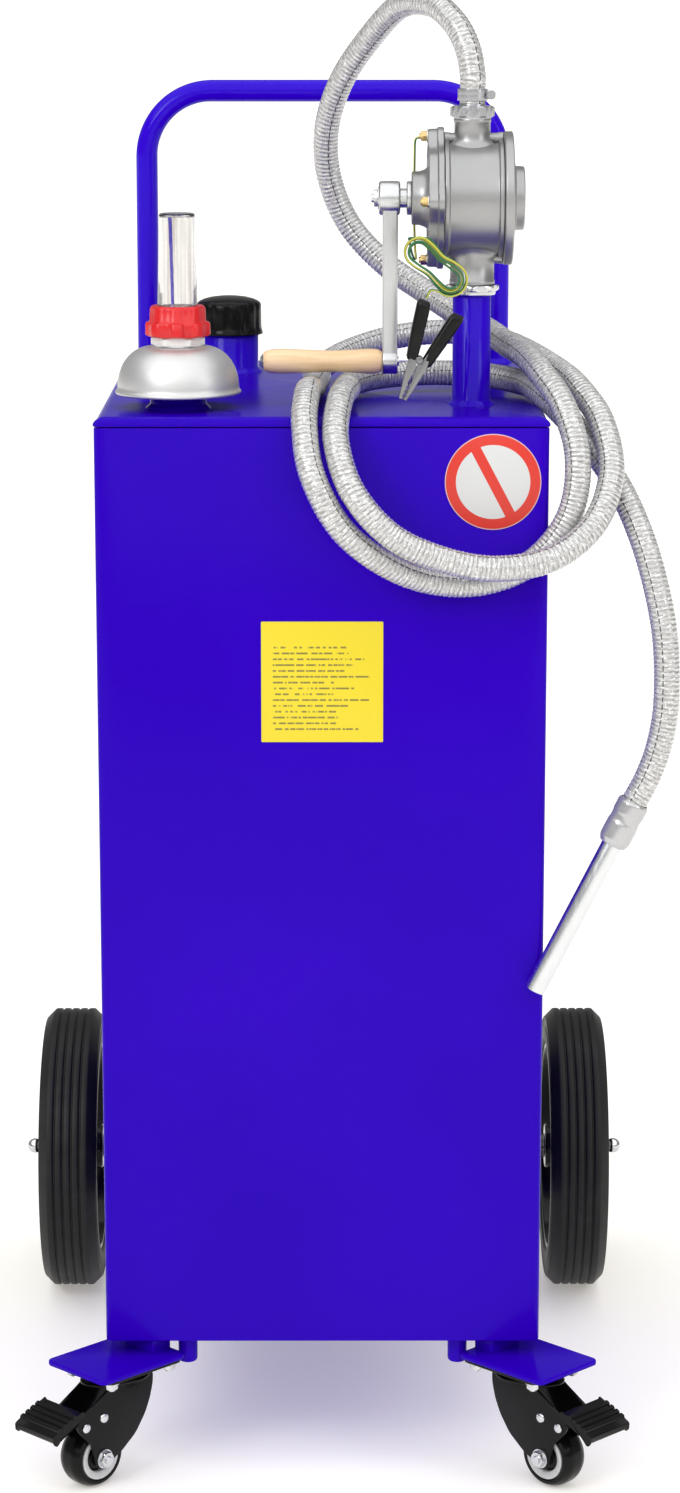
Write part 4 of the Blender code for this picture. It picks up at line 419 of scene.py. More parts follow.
def arc(middle: Sequence[float], radius: float, start: float, end: float, steps: int = 12) -> Profile:
    """Points along a circle's arc, from one angle in degrees to another."""
    angles = np.radians(np.linspace(start, end, steps + 1))
    return list(zip(middle[0] + radius * np.cos(angles), middle[1] + radius * np.sin(angles)))


def capsule(first: Sequence[float], first_radius: float, second: Sequence[float], second_radius: float,
            steps: int = 16) -> Profile:
    """The outline of two circles and the straight sides that touch both.

    Args:
        first: the first circle's middle.
        first_radius: its radius.
        second: the second circle's middle.
        second_radius: its radius.
        steps: the sides of each arc.

    Returns:
        The points.
    """
    span = math.hypot(second[0] - first[0], second[1] - first[1])
    heading = math.degrees(math.atan2(second[1] - first[1], second[0] - first[0]))
    lean = math.degrees(math.acos((first_radius - second_radius) / span))
    return (arc(second, second_radius, heading - lean, heading + lean, steps)
            + arc(first, first_radius, heading + lean, heading + 360 - lean, steps))


# Curves and cords
def smooth_curve(points: Sequence[Sequence[float]], steps: int) -> np.ndarray:
    """The cubic curve through all points whose tangent at each is half the chord of its neighbours.

    Args:
        points: the points that it goes through.
        steps: how many pieces each stretch has.

    Returns:
        The curve's points.
    """
    knots = np.array(points, float)
    knots = np.vstack([2 * knots[0] - knots[1], knots, 2 * knots[-1] - knots[-2]])
    before, start, end, after = knots[:-3, None], knots[1:-2, None], knots[2:-1, None], knots[3:, None]
    t = (np.arange(steps) / steps)[None, :, None]
    curve = 0.5 * (2 * start + (end - before) * t + (2 * before - 5 * start + 4 * end - after) * t ** 2
                   + (3 * start - before - 3 * end + after) * t ** 3)
    return np.vstack([curve.reshape(-1, 3), knots[-2]])


def distances(curve: np.ndarray) -> np.ndarray:
    """The length from a curve's start to each of its points."""
    return np.concatenate([[0], np.cumsum(np.linalg.norm(np.diff(curve, axis=0), axis=1))])


def evenly(curve: np.ndarray, count: int) -> np.ndarray:
    """As many points as asked at even distances along a curve.

    Args:
        curve: the curve's points.
        count: how many points.

    Returns:
        The points.
    """
    lengths = distances(curve)
    wanted = np.linspace(0, lengths[-1], count)
    return np.column_stack([np.interp(wanted, lengths, curve[:, axis]) for axis in range(3)])


def swept(path: np.ndarray, radii: Union[float, np.ndarray], sides: int) -> Shell:
    """A tube along a path, with rings that turn as little as they can from one to the next.

    The first ring's direction is square to the path, and each later one is the last, reflected twice.

    Args:
        path: the centre line's points.
        radii: one radius, or one for each point.
        sides: how many columns.

    Returns:
        The shell, with the length along the path as its second UV value.
    """
    tangents = np.gradient(path, axis=0)
    tangents /= np.linalg.norm(tangents, axis=1, keepdims=True)
    helper = np.eye(3)[np.argmin(np.abs(tangents[0]))]
    across = np.cross(tangents[0], helper)
    sideways = [across / np.linalg.norm(across)]
    for number in range(len(path) - 1):
        step = path[number + 1] - path[number]
        share = 2 / np.dot(step, step)
        reflected = sideways[-1] - share * np.dot(step, sideways[-1]) * step
        tangent = tangents[number] - share * np.dot(step, tangents[number]) * step
        second = tangents[number + 1] - tangent
        square = np.dot(second, second)
        if square > 1e-16:
            reflected = reflected - 2 / square * np.dot(second, reflected) * second
        sideways.append(reflected / np.linalg.norm(reflected))
    first = np.array(sideways)[:, None]
    second = np.cross(tangents, np.array(sideways))[:, None]
    angles = circle(sides)[None, :, None]
    reach = np.broadcast_to(np.asarray(radii, float), (len(path),))[:, None, None]
    grid = path[:, None] + reach * (np.cos(angles) * first + np.sin(angles) * second)
    return Shell(grid, lengths=distances(path))


# Shader maths
class Value:
    """A number in a material's nodes: Python's operators add the Math nodes that work it out."""

    def __init__(self, recipe: "Recipe", socket: bpy.types.NodeSocket) -> None:
        """Wrap a socket of a recipe's tree."""
        self.recipe = recipe
        self.socket = socket

    def math(self, operation: str, *others: Union["Value", float], flip: bool = False) -> "Value":
        """The result of one Math node.

        Args:
            operation: the node's operation.
            others: its other numbers.
            flip: whether this value comes last.

        Returns:
            The new value.
        """
        terms = [*others, self] if flip else [self, *others]
        node = self.recipe.node("ShaderNodeMath", {"operation": operation}, dict(enumerate(terms)))
        return Value(self.recipe, node.outputs[0])

    def __add__(self, other: Union["Value", float]) -> "Value":
        """This plus the other."""
        return self.math("ADD", other)

    __radd__ = __add__

    def __sub__(self, other: Union["Value", float]) -> "Value":
        """This less the other."""
        return self.math("SUBTRACT", other)

    def __rsub__(self, other: float) -> "Value":
        """The other less this."""
        return self.math("SUBTRACT", other, flip=True)

    def __mul__(self, other: Union["Value", float]) -> "Value":
        """This times the other."""
        return self.math("MULTIPLY", other)

    __rmul__ = __mul__

    def __abs__(self) -> "Value":
        """The size of this without its sign."""
        return self.math("ABSOLUTE")

    def __mod__(self, other: float) -> "Value":
        """What is left of this over whole steps of the other."""
        return self.math("FLOORED_MODULO", other)

    def wave(self) -> "Value":
        """The sine of this."""
        return self.math("SINE")

    def rise(self, low: float, high: float) -> "Value":
        """From 0 at low to 1 at high, smoothly, and level past both."""
        node = self.recipe.node("ShaderNodeMapRange", {"interpolation_type": "SMOOTHSTEP"},
                                {"Value": self, "From Min": low, "From Max": high})
        return Value(self.recipe, node.outputs["Result"])

    def within(self, half: float, soft: float) -> "Value":
        """1 where this lies within half of zero and 0 outside, over a soft edge."""
        return 1 - abs(self).rise(half - soft, half + soft)


class Recipe:
    """One material's node tree, with a Principled shader at its end."""

    def __init__(self, name: str) -> None:
        """A new material with only its shader and output.

        Args:
            name: the material's name.
        """
        self.material = bpy.data.materials.new(name)
        self.material.use_nodes = True
        self.tree = self.material.node_tree
        self.shader = self.tree.nodes["Principled BSDF"]

    def node(self, kind: str, settings: Optional[dict] = None,
             inputs: Optional[dict] = None) -> bpy.types.Node:
        """A node with its settings, then its sockets.

        Args:
            kind: the node's type.
            settings: its properties, set first.
            inputs: numbers, colours, values or sockets by the name or place of the input.

        Returns:
            The node.
        """
        node = self.tree.nodes.new(kind)
        for key, value in (settings or {}).items():
            setattr(node, key, value)
        for key, value in (inputs or {}).items():
            self.feed(node.inputs[key], value)
        return node

    def feed(self, socket: bpy.types.NodeSocket, value: object) -> None:
        """Link a value or a socket to an input, or set the input to a number or a colour.

        Args:
            socket: the input.
            value: what goes into it.
        """
        if isinstance(value, Value):
            value = value.socket
        if isinstance(value, bpy.types.NodeSocket):
            self.tree.links.new(value, socket)
        else:
            socket.default_value = value

    def set(self, **constants: object) -> None:
        """Set or link the shader's own inputs.

        Args:
            constants: what goes into each input, which is named with _ for a space.
        """
        for key, value in constants.items():
            colour = isinstance(value, tuple) and len(value) == 3
            self.feed(self.shader.inputs[key.replace("_", " ")], (*value, 1) if colour else value)

    def axes(self, source: str = "Object") -> tuple[Value, Value, Value]:
        """The three numbers of the object's coordinates, or of its UV map."""
        where = self.node("ShaderNodeTexCoord").outputs[source]
        split = self.node("ShaderNodeSeparateXYZ", inputs={0: where})
        return tuple(Value(self, split.outputs[k]) for k in range(3))

    def vector(self, *parts: Union[Value, float]) -> bpy.types.NodeSocket:
        """One vector from three numbers."""
        return self.node("ShaderNodeCombineXYZ", inputs=dict(enumerate(parts))).outputs[0]

    def noise(self, scale: float, detail: float = 2.0,
              vector: Optional[bpy.types.NodeSocket] = None) -> Value:
        """Cloudy noise with so many features to the metre, from 0 to 1.

        Args:
            scale: the noise's scale.
            detail: how many finer layers it has.
            vector: where it is read, or the object's coordinates.

        Returns:
            The noise's value.
        """
        where = vector or self.node("ShaderNodeTexCoord").outputs["Object"]
        node = self.node("ShaderNodeTexNoise", inputs={"Vector": where, "Scale": scale, "Detail": detail})
        return Value(self, node.outputs[0])

    def mix(self, mask: Union[Value, float], first: object, second: object) -> bpy.types.NodeSocket:
        """A colour between two, by a mask.

        Args:
            mask: 0 for the first and 1 for the second.
            first: a colour or a socket.
            second: a colour or a socket.

        Returns:
            The socket with the colour.
        """
        node = self.node("ShaderNodeMix", {"data_type": "RGBA"}, {0: mask})
        for place, colour in ((6, first), (7, second)):
            self.feed(node.inputs[place], (*colour, 1) if isinstance(colour, tuple) else colour)
        return node.outputs[2]

    def bump(self, height: Value, distance: float, strength: float = 1.0) -> None:
        """Raise the surface by a value times a distance in metres."""
        inputs = {"Height": height, "Distance": distance, "Strength": strength}
        self.feed(self.shader.inputs["Normal"], self.node("ShaderNodeBump", inputs=inputs).outputs[0])


MADE: dict[str, bpy.types.Material] = {}


@dataclass(frozen=True)
class Finish:
    """What a piece is finished in: a name for its material, and the record's slot for it."""

    key: str = "plain"
    slot: str = "blue_paint"

    def material(self) -> bpy.types.Material:
        """The finish's material, made the first time that it is asked for.

        The materials are kept here and not looked up by name, because the frame has its own of many names.

        Returns:
            The material.
        """
        if self.key not in MADE:
            recipe = Recipe(self.key)
            self.dress(recipe)
            MADE[self.key] = recipe.material
        return MADE[self.key]

    def dress(self, recipe: Recipe) -> None:
        """Fill in the recipe: each kind of finish has its own."""
        raise NotImplementedError


@dataclass(frozen=True)
class Enamel(Finish):
    """Stoved paint on steel: slight orange peel and a little cloudiness."""

    colour: Triple = (0.022, 0.0, 0.385)
    pale: Triple = (0.026, 0.0, 0.425)
    roughness: float = 0.2
    specular: float = 0.05
    peel: float = 0.00003

    def dress(self, recipe: Recipe) -> None:
        """Paint whose gloss and depth drift gently over the panels.

        Args:
            recipe: the material's node tree.
        """
        drift = recipe.noise(5.0, 3.0)
        recipe.set(Base_Color=recipe.mix(drift.rise(0.35, 0.75), self.colour, self.pale),
                   Roughness=recipe.noise(38.0) * 0.1 + (self.roughness - 0.05),
                   Specular_IOR_Level=self.specular)
        recipe.bump(recipe.noise(420.0, 1.0), self.peel)


@dataclass(frozen=True)
class Metal(Finish):
    """Bare or plated metal with a fine grain, which may be drawn out along one axis."""

    colour: Triple = (0.62, 0.63, 0.65)
    roughness: float = 0.3
    metallic: float = 1.0
    grain: float = 900.0
    depth: float = 0.00002
    stretch: Triple = (1.0, 1.0, 1.0)

    def dress(self, recipe: Recipe) -> None:
        """The grain shows in the colour, the roughness and a slight bump.

        Args:
            recipe: the material's node tree.
        """
        x, y, z = recipe.axes()
        along = recipe.vector(x * self.stretch[0], y * self.stretch[1], z * self.stretch[2])
        grain = recipe.noise(self.grain, 3.0, along)
        stain = recipe.noise(26.0, 4.0)
        dark = tuple(0.8 * c for c in self.colour)
        recipe.set(Base_Color=recipe.mix(grain * 0.6 + stain.rise(0.4, 0.8) * 0.4, dark, self.colour),
                   Roughness=grain * 0.16 + (self.roughness - 0.08), Metallic=self.metallic)
        recipe.bump(grain, self.depth)


@dataclass(frozen=True)
class Moulded(Finish):
    """Plastic or rubber: a fine matt grain and slight scuffs."""

    colour: Triple = (0.016, 0.016, 0.017)
    worn: Triple = (0.03, 0.03, 0.031)
    roughness: float = 0.45
    grain: float = 1500.0
    depth: float = 0.00003
    specular: float = 0.45

    def dress(self, recipe: Recipe) -> None:
        """Scuffs lighten the colour where two noises agree.

        Args:
            recipe: the material's node tree.
        """
        scuff = recipe.noise(60.0, 5.0) * recipe.noise(9.0, 2.0)
        recipe.set(Base_Color=recipe.mix(scuff.rise(0.22, 0.42), self.colour, self.worn),
                   Roughness=recipe.noise(45.0) * 0.14 + (self.roughness - 0.07),
                   Specular_IOR_Level=self.specular)
        recipe.bump(recipe.noise(self.grain, 2.0), self.depth)


@dataclass(frozen=True)
class ClearPlastic(Finish):
    """Clear moulded acrylic, faintly rippled."""

    clear: Triple = (0.9, 0.895, 0.89)
    # The colour of the painted shade bands.
    shade_tint: Triple = (0.62, 0.585, 0.56)
    roughness: float = 0.03

    def dress(self, recipe: Recipe) -> None:
        """Light goes through; faint upright darker bands of painted shade, standing in for the dark lines
        that refraction draws in the tube, colour it, and ripples bend it a little.

        Args:
            recipe: the material's node tree.
        """
        x, y, z = recipe.axes()
        # Painted shade: upright noise bands darken the plastic where refraction would draw dark lines.
        painted_shade_streaks = recipe.noise(1.0, 2.0, recipe.vector(x * 260.0, y * 260.0, z * 3.0)).rise(0.52, 0.66)
        recipe.set(Base_Color=recipe.mix(painted_shade_streaks, self.clear, self.shade_tint),
                   Roughness=self.roughness, Transmission_Weight=1.0, IOR=1.49)
        recipe.bump(recipe.noise(140.0, 1.0), 0.00002)


@dataclass(frozen=True)
class RibbedHose(Finish):
    """Clear hose over silvery braid: fine cross hatching, glints of painted highlight and two dark tracer
    threads.
    """

    pitch: float = 0.0036
    tracers: tuple[float, float] = (0.16, 0.6)
    light: Triple = (0.62, 0.62, 0.622)
    shade: Triple = (0.29, 0.285, 0.275)
    dark: Triple = (0.035, 0.032, 0.03)
    # The near-white colour of the painted highlight glints.
    bright: Triple = (0.95, 0.95, 0.95)

    def dress(self, recipe: Recipe) -> None:
        """The UV map runs once round and then along in metres, so every mark has its real size.

        Args:
            recipe: the material's node tree.
        """
        turn, length, _ = recipe.axes("UV")
        jitter = recipe.noise(14.0, 2.0, recipe.vector(turn * 0.6, length * 7.0, 0.0))
        slanted = length * (TURN / self.pitch) + turn * 6.0 + jitter * 5.0
        hatch = slanted.wave().rise(-0.75, 0.55)
        weave = recipe.noise(1.0, 2.0, recipe.vector(turn * 11.0, length * 750.0, 0.0))
        threads = recipe.noise(1.0, 2.0, recipe.vector(turn * 60.0, length * 190.0, 0.0))
        base = recipe.mix(hatch * 0.5 + weave.rise(0.3, 0.7) * 0.5, self.shade, self.light)
        # Painted highlight: near-white glints mixed into the colour where two noises agree.
        painted_glint = (weave * threads).rise(0.27, 0.38)
        base = recipe.mix(painted_glint * 0.6, base, self.bright)
        dash = (length * (TURN / (1.7 * self.pitch))).wave().rise(-0.9, -0.3)
        tracer = None
        for share in self.tracers:
            drift = recipe.noise(2.0, 0.0, recipe.vector(0.0, length, share)) * 0.12
            line = (turn - drift - (share - 0.06)).within(0.0075, 0.003)
            tracer = line if tracer is None else tracer + line
        recipe.set(Base_Color=recipe.mix(tracer * dash, base, self.dark), Metallic=0.3,
                   Roughness=weave * 0.25 + 0.14, Coat_Weight=0.5, Coat_Roughness=0.08)
        recipe.bump(hatch * 0.8 + weave * 0.2, 0.0004, 0.7)


@dataclass(frozen=True)
class Sheath(Finish):
    """A wire's two-coloured sheath: a band of the second colour along the first."""

    first: Triple = (0.012, 0.13, 0.045)
    second: Triple = (0.48, 0.45, 0.05)

    def dress(self, recipe: Recipe) -> None:
        """The band covers two fifths of the turn and wanders slowly round the wire.

        Args:
            recipe: the material's node tree.
        """
        turn, length, _ = recipe.axes("UV")
        band = ((turn + length * 3.0) % 1.0 - 0.5).within(0.2, 0.02)
        recipe.set(Base_Color=recipe.mix(band, self.first, self.second), Roughness=0.42)
        recipe.bump(recipe.noise(2500.0, 1.0), 0.00002)


@dataclass(frozen=True)
class Beech(Finish):
    """Pale varnished wood, its grain along X, with short darker flecks."""

    pale: Triple = (0.86, 0.62, 0.37)
    deep: Triple = (0.78, 0.52, 0.28)
    fleck: Triple = (0.52, 0.31, 0.15)

    def dress(self, recipe: Recipe) -> None:
        """Rings drawn out along the grip, and flecks drawn out more.

        Args:
            recipe: the material's node tree.
        """
        x, y, z = recipe.axes()
        rings = recipe.noise(1.0, 4.0, recipe.vector(x * 18.0, y * 420.0, z * 420.0))
        flecks = recipe.noise(1.0, 2.0, recipe.vector(x * 160.0, y * 1900.0, z * 1900.0))
        wood = recipe.mix(rings.rise(0.35, 0.7), self.pale, self.deep)
        recipe.set(Base_Color=recipe.mix(flecks.rise(0.62, 0.74) * 0.35, wood, self.fleck),
                   Roughness=rings * 0.14 + 0.32, Coat_Weight=0.35, Coat_Roughness=0.2)
        recipe.bump(rings, 0.00006)


@dataclass(frozen=True)
class Notice(Finish):
    """A blank notice: plain broken rules of uneven length, which spell nothing."""

    centre: tuple[float, float] = (0.0, 0.0)
    size: tuple[float, float] = (0.09, 0.09)
    lines: int = 15
    ground: Triple = (0.7, 0.56, 0.012)
    ink: Triple = (0.21, 0.17, 0.03)

    def dress(self, recipe: Recipe) -> None:
        """Each line is a thin band whose right end follows a noise of its own row.

        Args:
            recipe: the material's node tree.
        """
        x, _, z = recipe.axes()
        left = self.centre[0] - self.size[0] / 2 + 0.009
        low = self.centre[1] - self.size[1] / 2 + 0.008
        pitch = (self.size[1] - 0.026) / self.lines
        rows = (z - low) * (1 / pitch)
        row = rows.math("FLOOR")
        uneven = recipe.noise(1.0, 0.0, recipe.vector(row * 7.3, 0.5, 0.5)).rise(0.25, 0.75)
        reach = uneven * 0.03 + 0.046
        band = (rows % 1.0 - 0.5).within(0.16, 0.05)
        across = (x - left).rise(-0.0003, 0.0003) * (1 - (x - left - reach).rise(-0.0004, 0.0004))
        inside = (rows - self.lines / 2).within(self.lines / 2, 0.05)
        breaks = recipe.noise(1.0, 1.0, recipe.vector(x * 420.0, row * 3.1, 0.0)).rise(0.4, 0.5)
        recipe.set(Base_Color=recipe.mix(band * across * inside * breaks, self.ground, self.ink),
                   Roughness=recipe.noise(90.0) * 0.1 + 0.3)
        recipe.bump(recipe.noise(800.0, 1.0), 0.00001)


@dataclass(frozen=True)
class Roundel(Finish):
    """A blank round sign: a red ring and bar on white."""

    centre: tuple[float, float] = (0.0, 0.0)
    radius: float = 0.038
    ring: float = 0.0285
    bar: float = 0.004
    lean: float = math.radians(28)
    red: Triple = (0.62, 0.03, 0.016)
    white: Triple = (0.6, 0.602, 0.598)
    edge: Triple = (0.64, 0.4, 0.41)

    def dress(self, recipe: Recipe) -> None:
        """Red where the distance to the middle passes the ring, or to the leaning line is short.

        Args:
            recipe: the material's node tree.
        """
        x, _, z = recipe.axes()
        across, up = x - self.centre[0], z - self.centre[1]
        distance = (across * across + up * up).math("SQRT")
        ring = distance.rise(self.ring - 0.0002, self.ring + 0.0002)
        bar = (across * math.cos(self.lean) + up * math.sin(self.lean)).within(self.bar, 0.0002)
        rim = distance.rise(self.radius - 0.0009, self.radius - 0.0006)
        red = recipe.mix(ring.math("MAXIMUM", bar), self.white, self.red)
        recipe.set(Base_Color=recipe.mix(rim, red, self.edge), Roughness=recipe.noise(90.0) * 0.1 + 0.28)
        recipe.bump(recipe.noise(800.0, 1.0), 0.00001)


BLUE = Enamel("blue_enamel", "blue_paint")
# The tank's blue paint again, glossier and painted lighter: its extra lightness is painted light on the
# pipes.
LIT_PIPE_BLUE = Enamel("lit_pipe_enamel", "blue_paint", (0.024, 0.0, 0.5), (0.028, 0.0, 0.55), 0.12, 0.12)
BLACK_ENAMEL = Enamel("black_enamel", "black_paint", (0.003,) * 3, (0.006,) * 3, 0.14, 0.17)
CAST = Metal("sand_cast_alloy", "cast_alloy", (0.415, 0.416, 0.418), 0.35, 0.85, 1400.0, 0.00005)
DRAWN = Metal("drawn_alloy", "cast_alloy", (0.69, 0.7, 0.71), 0.3, 1.0, 1.0, 0.00002,
              (900.0, 900.0, 60.0))
SPUN = Metal("spun_alloy", "chrome", (0.7,) * 3, 0.44, 0.85, 1.0, 0.000004, (60.0, 60.0, 2200.0))
ZINC = Metal("bright_zinc", "zinc", (0.72, 0.73, 0.75), 0.24)
PALE_ZINC = Metal("pale_zinc", "zinc", (0.47, 0.475, 0.5), 0.26, 0.85)
STEEL = Metal("dark_steel", "zinc", (0.3, 0.3, 0.31), 0.3)
CHROME = Metal("bright_chrome", "zinc", (0.7, 0.71, 0.73), 0.14, 1.0, 300.0, 0.000004)
BRASS = Metal("brass", "cast_alloy", (0.74, 0.53, 0.24), 0.24)
CRIMPED = Metal("cuff_sleeve", "hose", (0.56, 0.56, 0.57), 0.2, 0.55, 500.0, 0.0001)
PIPE = Metal("spout_pipe", "cast_alloy", (0.8, 0.82, 0.84), 0.26, 1.0, 1.0, 0.00001, (300.0, 300.0, 25.0))
TYRE = Moulded("tyre_rubber", "tyre", (0.006,) * 3, (0.012,) * 3, 0.5, 900.0, 0.00008, 0.28)
RUBBER = Moulded("soft_rubber", "black_rubber", (0.005,) * 3, (0.01,) * 3, 0.26, 1500.0, 0.00003, 0.2)
BLACK = Moulded("satin_black", "black_plastic", (0.003,) * 3, (0.006,) * 3, 0.22, 1500.0, 0.00002, 0.16)
RED = Moulded("red_nylon", "red_plastic", (0.6, 0.01, 0.014), (0.66, 0.022, 0.024), 0.28)
WHITE = Moulded("white_nylon", "white_plastic", (0.78, 0.79, 0.79), (0.7, 0.7, 0.69), 0.34)
GREY = Moulded("grey_nylon", "grey_plastic", (0.56, 0.565, 0.57), (0.48, 0.48, 0.48), 0.4)
CLEAR = ClearPlastic("clear_acrylic", "clear_plastic")
HOSE = RibbedHose("ribbed_hose", "hose")
WIRE = Sheath("wire_sheath", "wire")
WOOD = Beech("varnished_beech", "wood")


# The hose and the earth wire
@dataclass
class OutletHose:
    """The outlet hose, its pump adaptor and band, and the cuff and spout on its end.

    The route repeats the one in the part's source. Its points were not chosen by hand: 71 of the 73 stand
    as a fitting script printed them, from a tracing by eye that it moved clear of the other pieces.
    """

    radius: float = 0.0103
    groove: float = 0.00045
    pitch: float = 0.0036
    sides: int = 18
    rings_to_a_rib: int = 4
    cuff_radius: float = 0.0125
    cuff_top: float = 0.0156
    cuff_bottom: float = -0.0224
    cuff_waist: Section = ((0.9, 0.0), (1.0, 0.05), (1.0, 0.28), (0.955, 0.34), (0.955, 0.46),
                           (1.0, 0.52), (1.0, 0.88), (0.84, 1.0))
    band_width: float = 0.0088
    spout_radius: float = 0.008
    spout_bore: float = 0.0068
    spout_length: float = 0.154
    route: tuple = (
        (0.117, 0.0925, 1.0905), (0.117, 0.0925, 1.1015), (0.117, 0.0925, 1.1125),
        (0.113, 0.098, 1.133), (0.103, 0.110, 1.152), (0.086, 0.132, 1.166),
        (0.062, 0.166, 1.164), (0.037, 0.200, 1.137), (0.016, 0.220, 1.105),
        (0.004, 0.239, 1.068), (0.005, 0.255, 1.028), (0.021, 0.261, 0.988),
        (0.049, 0.254, 0.957), (0.082, 0.235, 0.935), (0.110, 0.208, 0.918),
        (0.134, 0.173, 0.907), (0.148, 0.132, 0.900), (0.160, 0.091, 0.895),
        (0.170, 0.050, 0.886), (0.186, 0.017, 0.863), (0.196, -0.002, 0.826),
        (0.190, -0.008, 0.783), (0.164, -0.011, 0.749), (0.125, -0.013, 0.732),
        (0.083, -0.021, 0.734), (0.046, -0.036, 0.751), (0.014, -0.044, 0.779),
        (-0.007, -0.039, 0.818), (-0.013, -0.017, 0.853), (-0.011, 0.022, 0.873),
        (-0.008, 0.067, 0.871), (-0.007, 0.108, 0.868), (-0.003, 0.152, 0.872),
        (-0.006, 0.195, 0.868), (-0.001, 0.238, 0.871), (0.022, 0.273, 0.881),
        (0.060, 0.290, 0.891), (0.102, 0.284, 0.896), (0.136, 0.258, 0.895),
        (0.154, 0.219, 0.892), (0.159, 0.176, 0.893), (0.169, 0.134, 0.891),
        (0.186, 0.095, 0.883), (0.200, 0.055, 0.873), (0.216, 0.022, 0.850),
        (0.222, -0.001, 0.814), (0.208, -0.020, 0.778), (0.176, -0.035, 0.754),
        (0.133, -0.043, 0.747), (0.091, -0.048, 0.755), (0.052, -0.052, 0.774),
        (0.023, -0.047, 0.807), (0.011, -0.027, 0.843), (0.014, 0.008, 0.869),
        (0.020, 0.048, 0.874), (0.018, 0.092, 0.868), (0.024, 0.136, 0.869),
        (0.049, 0.170, 0.871), (0.089, 0.185, 0.872), (0.131, 0.175, 0.871),
        (0.159, 0.143, 0.869), (0.169, 0.100, 0.868), (0.183, 0.062, 0.858),
        (0.205, 0.035, 0.835), (0.229, 0.019, 0.802), (0.246, 0.003, 0.765),
        (0.258, -0.007, 0.724), (0.265, -0.011, 0.683), (0.266, -0.012, 0.636),
        (0.261, -0.011, 0.603), (0.253, -0.010, 0.579), (0.243, -0.010, 0.559),
        (0.236, -0.010, 0.545),
    )

    def build(self) -> None:
        curve = smooth_curve([(x, y + FRONT_Y, z) for x, y, z in self.route], 16)
        length = distances(curve)[-1]
        ribs = round(length / self.pitch)
        path = evenly(curve, ribs * self.rings_to_a_rib + 1)
        phase = np.arange(len(path)) * TURN / self.rings_to_a_rib
        radii = self.radius - self.groove * (0.5 - 0.5 * np.cos(phase))
        hose = build_piece("outlet_hose", [swept(path, radii, self.sides)], HOSE,
                           replaces=("hose_upper", "hose_coil", "hose_tail"), sharp=70, weld=False)
        self.spout(path)
        self.cuff(path)
        self.adaptor(path[0])
        self.band(path[0])

    def end_place(self, path: np.ndarray) -> Place:
        """The place at the hose's far end, looking back up the hose."""
        return Place.toward(path[-1], path[-12] - path[-1])

    def cuff(self, path: np.ndarray) -> bpy.types.Object:
        """The clear crimped sleeve between hose and spout.

        Args:
            path: the hose's centre line.

        Returns:
            The cuff.
        """
        top, low = self.cuff_top, self.cuff_bottom
        outer = [(share * self.cuff_radius, top - down * (top - low)) for share, down in self.cuff_waist]
        bore, spout = self.radius + 2 * HAIR, self.spout_radius + HAIR
        inner = [(spout, low), (spout, -HAIR), (bore, -HAIR), (bore, top)]
        sleeve = turned(outer + inner, 0.0012, self.end_place(path), 48, looped=True)
        return build_piece("hose_cuff_sleeve", [sleeve], CRIMPED, replaces=("hose_cuff",), sharp=50)

    def spout(self, path: np.ndarray) -> None:
        """The bare metal pipe, open at its end.

        Args:
            path: the hose's centre line.
        """
        top, low = -2 * HAIR, -self.spout_length
        profile = [(self.spout_radius, top), (self.spout_radius, low), (self.spout_bore, low),
                   (self.spout_bore, top)]
        pipe = turned(profile, 0.0004, self.end_place(path), 48, 3, looped=True)
        build_piece("spout_pipe", [pipe], PIPE, replaces=("spout",), sharp=50)

    def adaptor(self, base: np.ndarray) -> None:
        """The hexagon that screws into the pump's outlet, with its collar and barb.

        Args:
            base: the point where the hose starts.
        """
        low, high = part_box("hose_adaptor")
        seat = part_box("pump_body")[1].z + HAIR
        here = Place.at(base[0], base[1], 0.0)
        hexagon = many_sided(6, 0.0345, seat, seat + 0.0088, here, 0.0012)
        stem = turned([(0.0, low.z), (0.0092, low.z), (0.0092, seat + 0.002), (self.radius, seat + 0.004),
                       (self.radius, base[2] - HAIR / 2), (0.0062, base[2]), (0.0062, high.z - 0.006),
                       (0.0058, high.z), (0.0, high.z)], 0.0004, here, 48, 2)
        build_piece("outlet_adaptor", [hexagon, stem], PALE_ZINC, replaces=("hose_adaptor",), sharp=30)

    def band(self, base: np.ndarray) -> None:
        """The worm-drive band: a steel strap with rolled rims, its housing and its screw.

        Args:
            base: the point where the hose starts.
        """
        low = base[2] + 0.0022
        middle, high = low + self.band_width / 2, low + self.band_width
        bore, radius = self.radius + 2 * HAIR, self.radius + 2 * HAIR + 0.0009
        profile = [(radius, high), (radius - 0.0002, middle), (radius, low), (bore, low), (bore, high)]
        strap = turned(profile, 0.0003, Place.at(base[0], base[1], 0.0), 64, 3, looped=True)
        housing_place = Place.toward((base[0] + radius + 0.002, base[1], middle), (0, 1, 0))
        housing = extruded(rounded_rectangle(0.0062, 0.0072, 0.0016), -0.0052, 0.0052, housing_place, 0.0008)
        screw_place = Place.toward((base[0] + radius + 0.0026, base[1], middle), (0, -1, 0))
        head = many_sided(6, 0.0072, 0.005, 0.0075, screw_place, 0.0005)
        tail = disc(0.002, -0.0074, 0.0054, screw_place, 24, 0.0004)
        build_piece("worm_band", [strap, housing, head, tail], PALE_ZINC, replaces=("hose_clamp",), sharp=35)


